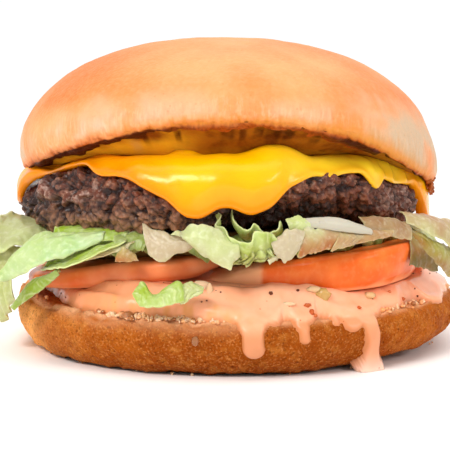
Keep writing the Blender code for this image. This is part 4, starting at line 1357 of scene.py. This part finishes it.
def apron(angle, half_width, outer, high, low, seed, **tints):
    """A leaf that comes out from under the patty and hangs: from an arc at the heap's edge, waved by 0.8 mm, to a
    shorter one further out and lower."""
    turns = angle + half_width * np.array([-1.0, -0.5, 0.0, 0.5, 1.0])
    bow = np.array([0.93, 0.98, 1.0, 0.985, 0.94])
    upper = stacked(turns, APRON_START, high + 0.8 * np.array([-1, 0.5, 1, 0, -1]))
    lower = stacked(angle + 0.8 * (turns - angle), outer * bow, low + 2.4 * (1 - bow) / 0.07)
    return leaf(upper, lower, bulge=1.8, ruffle=0.9, frill=(0.0, 1.1), seed=seed, size=(30, 13), **tints)


LOOSE_LEAVES = (
    ("bright_left_leaves", "lettuce_leaf_left", LEFT_LEAVES),
    ("pale_far_left_leaves", "lettuce_leaf_far_left", FAR_LEFT_LEAVES),
    ("drooping_right_leaves", "lettuce_leaf_right", RIGHT_LEAVES),
    ("curled_scrap", "lettuce_scrap_left", (SCRAP_LEFT,)),
    ("frilled_scrap", "lettuce_scrap_front", SCRAP_FRONT),
)


def filling_leaves():
    """Hanging leaves that close the heap: pairs of a paler and a darker one at the sides and the back, set by chance,
    and dark green ones behind the leaves of the front; the darker ones are darkened in part by painted shade."""
    leaves = []
    rng = np.random.default_rng(12)
    for angle in np.arange(-6, 212, 11.0):
        reach = 52.5 + 4.5 * near(angle, 90, 0, 70) + rng.uniform(-1.5, 1.5)
        pale = rng.uniform(0, 1)
        tints = {"green": (0.35 + 0.4 * (1 - pale), 0.25 + 0.3 * (1 - pale)), "white": (0.3 * pale, 0.45 * pale)}
        turn, half_width, low = angle + rng.uniform(-3, 3), rng.uniform(7, 12), rng.uniform(20.5, 25)
        leaves.append(apron(turn, half_width, reach, 30.4, low, int(angle) + 300, **tints))
        turn, half_width, low = angle + rng.uniform(2, 8), rng.uniform(6, 9), rng.uniform(19.5, 22)
        tints = {"green": (0.7, 0.55), "dark": (0.25, 0.2)}
        leaves.append(apron(turn, half_width, reach - 3.5, 28.2, low, int(angle) + 700, **tints))
    for angle in np.arange(-150, -20, 13.0):
        tints = {"green": (0.7, 0.7), "dark": (0.4, 0.5)}
        leaves.append(apron(angle, 9.0, 47.0, 29.5, 25.2 + 0.02 * (angle + 90), int(angle) + 1500, **tints))
    return leaves


def make_lettuce(look, core_look, rib_look):
    """The heap of leaves, the loose leaves and scraps, a plain core inside the heap, whose dark colour is painted
    shade, uneven by noise of 4 mm, and one thick white rib."""
    heap = [leaf(**shape) for shape in HEAP_LEAVES] + filling_leaves()
    joined_piece("iceberg_leaves", heap, look, ("lettuce_heap",))
    for name, node, leaves in LOOSE_LEAVES:
        joined_piece(name, [leaf(**shape) for shape in leaves], look, (node,))

    steps = np.arange(0, 360, 3.0)
    share = np.array([0, 0.5, 0.8, 0.93, 1.0, 1.0, 0.95, 0.8, 0.4, 0.0])[:, None]
    level = np.array([1, 1, 1, 0.97, 0.8, 0.3, 0.05, 0, 0, 0])[:, None]
    angle = np.repeat(steps[None], len(share), axis=0)
    radius = share * (LETTUCE_CORE_RADIUS + 1.0 * rough(12.0 * outward(angle), 4.0, 121))
    x, y = polar(radius, angle)
    high = np.minimum(patty_bottom(x, y), 31.0) - 0.8
    low = heel_top(y) + sauce_depth(x, y) * 0.7 + 7.5 * smooth(radius, 30, 42) * (y < 0)
    rings = stacked(x, y, low + (high - low) * level)
    rings = rings + (0.5 * rough(rings, 4.0, 123, 2))[..., None] * outward(angle)
    round_piece("lettuce_core", rings, core_look, {}, ("lettuce_heap",))

    rib = leaf(
        ((-74, 51.5, 33.5), (-70, 52, 34), (-64, 52.5, 33.5), (-56, 53, 31)),
        ((-74, 52, 32), (-68, 53, 31.5), (-56, 53.5, 30)),
        bulge=0.6, ruffle=0.05, pleat=0.0, seed=2, thick=0.8, size=(60, 20),
    )
    joined_piece("white_lettuce_rib", [rib], rib_look, ("lettuce_heap",))


# ---------------------------------------------------------------- small bits


# Bits that lie on the sauce: place across, height and how far they are lifted off it; half sizes, seed, rings, steps
# round, unevenness and tone, which is drawn by chance where it is None.
RELISH = (
    (17.0, 18.2, 0.2, (1.7, 0.9, 0.8), 3, 6, 9, 0.22, 0.6),
    (19.0, 16.8, 0.3, (1.6, 1.0, 1.5), 4, 6, 9, 0.2, 0.0),
    (30.0, 16.0, 0.2, (1.3, 1.1, 0.8), 5, 6, 9, 0.15, None),
    (11.5, 15.5, 0.1, (1.6, 0.6, 0.5), 6, 5, 8, 0.18, None),
    (-7.5, 18.8, 0.3, (2.3, 1.2, 1.2), 8, 6, 9, 0.16, 1.0),
    (-5.5, 18.2, 0.3, (0.7, 0.6, 1.4), 9, 5, 8, 0.16, 0.8),
)
RED_PEPPER = (
    (15.5, 15.2, 0.1, (0.8, 0.5, 0.5), 11, 7, 10, 0.25, None),
    (16.5, 14.0, 0.1, (0.5, 0.4, 0.7), 12, 7, 10, 0.25, None),
    (17.5, 13.2, 0.1, (0.6, 0.4, 0.4), 16, 7, 10, 0.25, None),
    (35.0, 16.4, 0.1, (0.45, 0.3, 0.3), 13, 6, 8, 0.2, None),
    (27.0, 14.2, 0.1, (0.5, 0.5, 0.4), 14, 6, 8, 0.2, None),
    (38.5, 13.8, 0.1, (0.6, 0.4, 0.4), 15, 6, 8, 0.2, None),
)
PEPPERCORNS = (
    (7.5, 17.6, 0.1, (0.5, 0.45, 0.4), 21, 5, 8, 0.25, None),
    (13.5, 18.0, 0.1, (0.35, 0.3, 0.3), 22, 5, 8, 0.25, None),
)
PEPPER_GRAINS = 46
RIM_CRUMBS = 170
TABLE_CRUMBS = 40
TORN_LUMPS = 60
# Drops of fat on the crust: angle, how far past the rim and radius.
FAT_DROPS = (
    (-115.5, 0.6, 1.4),
    (-113.6, -0.4, 0.9),
    (-117.4, -0.2, 0.8),
    (-114.2, 1.6, 0.7),
    (-124.5, -0.3, 0.6),
    (-122.8, 0.1, 0.5),
    (-99.5, 0.6, 0.6),
    (-93.0, -0.4, 0.8),
    (-104.0, 0.6, 0.5),
    (-132.5, -4.2, 0.7),
    (-131.2, -4.6, 0.5),
    (-40.5, 0.4, 0.7),
    (-38.6, 0.0, 0.5),
)


def pebble(centre, size, seed, rows=5, steps=8, uneven=0.25, tone=None):
    """A small lump of those half sizes: a ball with each point moved in or out by a random share."""
    rng = np.random.default_rng(seed)
    turn, along = np.meshgrid(np.arange(steps) * 2 * np.pi / steps, np.linspace(0, np.pi, rows + 2))
    ball = np.stack([np.sin(along) * np.cos(turn), np.sin(along) * np.sin(turn), np.cos(along)], axis=-1)
    ball = ball * (1 + uneven * rng.uniform(-1, 1, ball.shape[:2]))[..., None] * np.asarray(size)
    tone = rng.uniform(0, 1) if tone is None else tone
    return poled(ball) + np.asarray(centre), round_faces(rows, steps), {"tone": tone}


def on_front(surface, x, z, lift):
    """The point of a surface's open front that is nearest to x and height z, raised and brought forward by lift."""
    front = surface[(surface[:, 1] < -30.0) & (np.hypot(surface[:, 0], surface[:, 1]) > 48.0)]
    return front[np.hypot(front[:, 0] - x, front[:, 2] - z).argmin()] + (0.0, -0.4 * lift, lift)


def on_crust(angle, past, height):
    """The point that stands height above the heel's crust, that far past its rim."""
    return above(heel_skin, np.array([[angle]]), np.array([[RIM_TRAVEL + past]]), height)[0, 0]


def make_bits(surface, relish_look, pepper_look, black_look, crumb_look, clear_look, crust_look):
    """What lies on the sauce and along the rims. surface is the sauce's, as points."""

    def on_sauce(table):
        return [pebble(on_front(surface, x, z, lift), *shape) for x, z, lift, *shape in table]

    joined_piece("pickle_relish", on_sauce(RELISH), relish_look)
    joined_piece("red_pepper_bits", on_sauce(RED_PEPPER), pepper_look)
    rng = np.random.default_rng(5)
    black = on_sauce(PEPPERCORNS)
    for _ in range(PEPPER_GRAINS):
        x, y = polar(rng.uniform(46.0, 53.0), rng.uniform(-180, 180))
        place = surface[np.hypot(surface[:, 0] - x, surface[:, 1] - y).argmin()]
        black.append(pebble(place, (rng.uniform(0.12, 0.26),) * 3, int(rng.integers(1e6)), 3, 6))
    joined_piece("ground_pepper", black, black_look)
    crumbs = []
    for _ in range(RIM_CRUMBS):
        angle = rng.choice([rng.uniform(-121, -92), rng.uniform(-56, -34), rng.uniform(-180, 180)], p=(0.7, 0.14, 0.16))
        place = on_crust(angle, rng.normal(0.2, 0.8), 0.35)
        size = rng.uniform(0.2, 0.6) * rng.uniform(0.6, 1.5, 3)
        crumbs.append(pebble(place, size, int(rng.integers(1e6)), 4, 7, 0.35))
    for _ in range(TABLE_CRUMBS):
        angle = rng.uniform(-180, 180)
        place = (*polar(rng.uniform(50.5, 51.6), angle), 0.25)
        crumbs.append(pebble(place, (rng.uniform(0.2, 0.35),) * 3, int(rng.integers(1e6)), 3, 6, 0.3))
    joined_piece("toasted_crumbs", crumbs, crumb_look)
    drops = [
        pebble(on_crust(angle, past, 0.5), (size, size, 0.75 * size), 7, 9, 14, 0.05) for angle, past, size in FAT_DROPS
    ]
    drops.append(pebble(on_crust(-98.6, 6.0, 0.1), (0.8, 0.6, 1.1), 7, 9, 14, 0.04))
    joined_piece("fat_droplets", drops, clear_look)
    lumps = []
    for _ in range(TORN_LUMPS):
        turn = rng.uniform(-17, 2)
        x, y = polar(rng.uniform(51.6, 52.7), turn)
        place = (x - 1.9, y, rng.uniform(37.4 + 0.16 * abs(turn + 8), 41.4))
        lumps.append(pebble(place, rng.uniform(0.4, 0.9, 3), int(rng.integers(1e6)), 6, 9, 0.35))
    joined_piece("torn_crown_edge", lumps, crust_look)


crown_look = crown_crust()
make_heel(heel_crust())
sauce_surface = make_sauce(sauce())
tomato_look = tomato_flesh()
make_tomato("right_tomato_slice", "tomato_slice_right", TOMATO_RIGHT, tomato_look)
make_tomato("left_tomato_slice", "tomato_slice_left", TOMATO_LEFT, tomato_look)
make_lettuce(
    iceberg(),
    # painted shade: the core's dark brown stands for the shade inside the heap
    plain_food("shaded_lettuce", "6A4A1C", 0.6),
    plain_food("white_rib", "BEB8A6", 0.3, 0.3),
)
make_patty(beef())
make_cheese(cheese())
make_film(browned_film())
make_crown(crown_look)
make_bits(
    sauce_surface,
    plain_food("pickle_relish", "C89E5C", 0.2, 0.3, "ECC8A2"),
    plain_food("red_pepper", "BE5520", 0.25, 0.3, "D87844"),
    plain_food("black_pepper", "6A3418", 0.5, 0.0),
    plain_food("toasted_crumb", "F8CFA8", 0.22, 0.3, "E89C5C"),
    clear_fat(),
    plain_food("torn_crust", "8E3A0C", 0.45, 0.1, "B8641C"),
)


# ---------------------------------------------------------------- table, light and camera


def make_table():
    """A large sheet of matte white paper under the burger: it shows soft shadows and no gleam."""
    look = bpy.data.materials.new("white_paper_sweep")
    look.use_nodes = True
    shader = look.node_tree.nodes["Principled BSDF"]
    shader.inputs["Base Color"].default_value = linear("FFFBF7")
    shader.inputs["Roughness"].default_value = 0.9
    shader.inputs["Specular IOR Level"].default_value = 0.0
    side = PAPER_HALF_SIDE
    mesh = bpy.data.meshes.new("paper_sweep")
    mesh.from_pydata([(-side, -side, 0), (side, -side, 0), (side, side, 0), (-side, side, 0)], [], [(0, 1, 2, 3)])
    mesh.materials.append(look)
    table = placed("paper_sweep", mesh)


def aim(thing, place, target):
    """Puts a light or camera at a place and points its -Z axis at the target, both in mm."""
    place, target = (np.array(p, float) + AXIS for p in (place, target))
    dx, dy, dz = target - place
    thing.location = place * MM
    thing.rotation_euler = (math.pi / 2 + math.atan2(dz, math.hypot(dx, dy)), 0, math.atan2(-dx, dy))


def add_softbox(name, place, size_mm, power):
    """A rectangular lamp of that size, aimed at the middle of the burger."""
    lamp = bpy.data.lights.new(name, "AREA")
    lamp.shape = "RECTANGLE"
    lamp.size, lamp.size_y = size_mm[0] * MM, size_mm[1] * MM
    lamp.energy = power
    aim(placed(name, lamp), place, (0, 0, 40))


def make_studio():
    """A white room that is brighter behind the burger than in front of it, soft light from overhead and two small
    softboxes for the gleam."""
    world = bpy.data.worlds.new("white_studio")
    bpy.context.scene.world = world
    world.use_nodes = True
    direction = add(world, "ShaderNodeTexCoord", None, None, "Generated")
    back = add(world, "ShaderNodeSeparateXYZ", None, {"Vector": direction}, "Y")
    span = {"Value": back, "From Min": -0.3, "From Max": 0.7, "To Min": 0.62, "To Max": 1.03}
    strength = add(world, "ShaderNodeMapRange", {"interpolation_type": "SMOOTHSTEP"}, span)
    world.node_tree.links.new(strength, world.node_tree.nodes["Background"].inputs["Strength"])
    world.node_tree.nodes["Background"].inputs["Color"].default_value = (1, 1, 1, 1)
    sky = bpy.data.lights.new("overhead_scrim", "SUN")
    sky.energy = 1.2
    sky.angle = math.radians(75.0)
    aim(placed("overhead_scrim", sky), (40, 120, 600), (0, 0, 0))
    add_softbox("left_softbox", (-255, -415, 400), (260, 110), 1.9)
    add_softbox("right_softbox", (420, -360, 300), (180, 130), 0.6)
    bpy.context.scene.view_settings.view_transform = "Standard"


def make_camera():
    """A camera in front of the burger and a little above its middle, looking slightly down."""
    lens = bpy.data.cameras.new("camera")
    lens.sensor_width = 36.0
    lens.lens = CAMERA_LENS
    camera = placed("camera", lens)
    x, y, z = CAMERA_PLACE
    aim(camera, CAMERA_PLACE, (x, y + 100.0, z - 100.0 * math.tan(math.radians(CAMERA_PITCH))))
    bpy.context.scene.camera = camera


make_table()
make_studio()
make_camera()
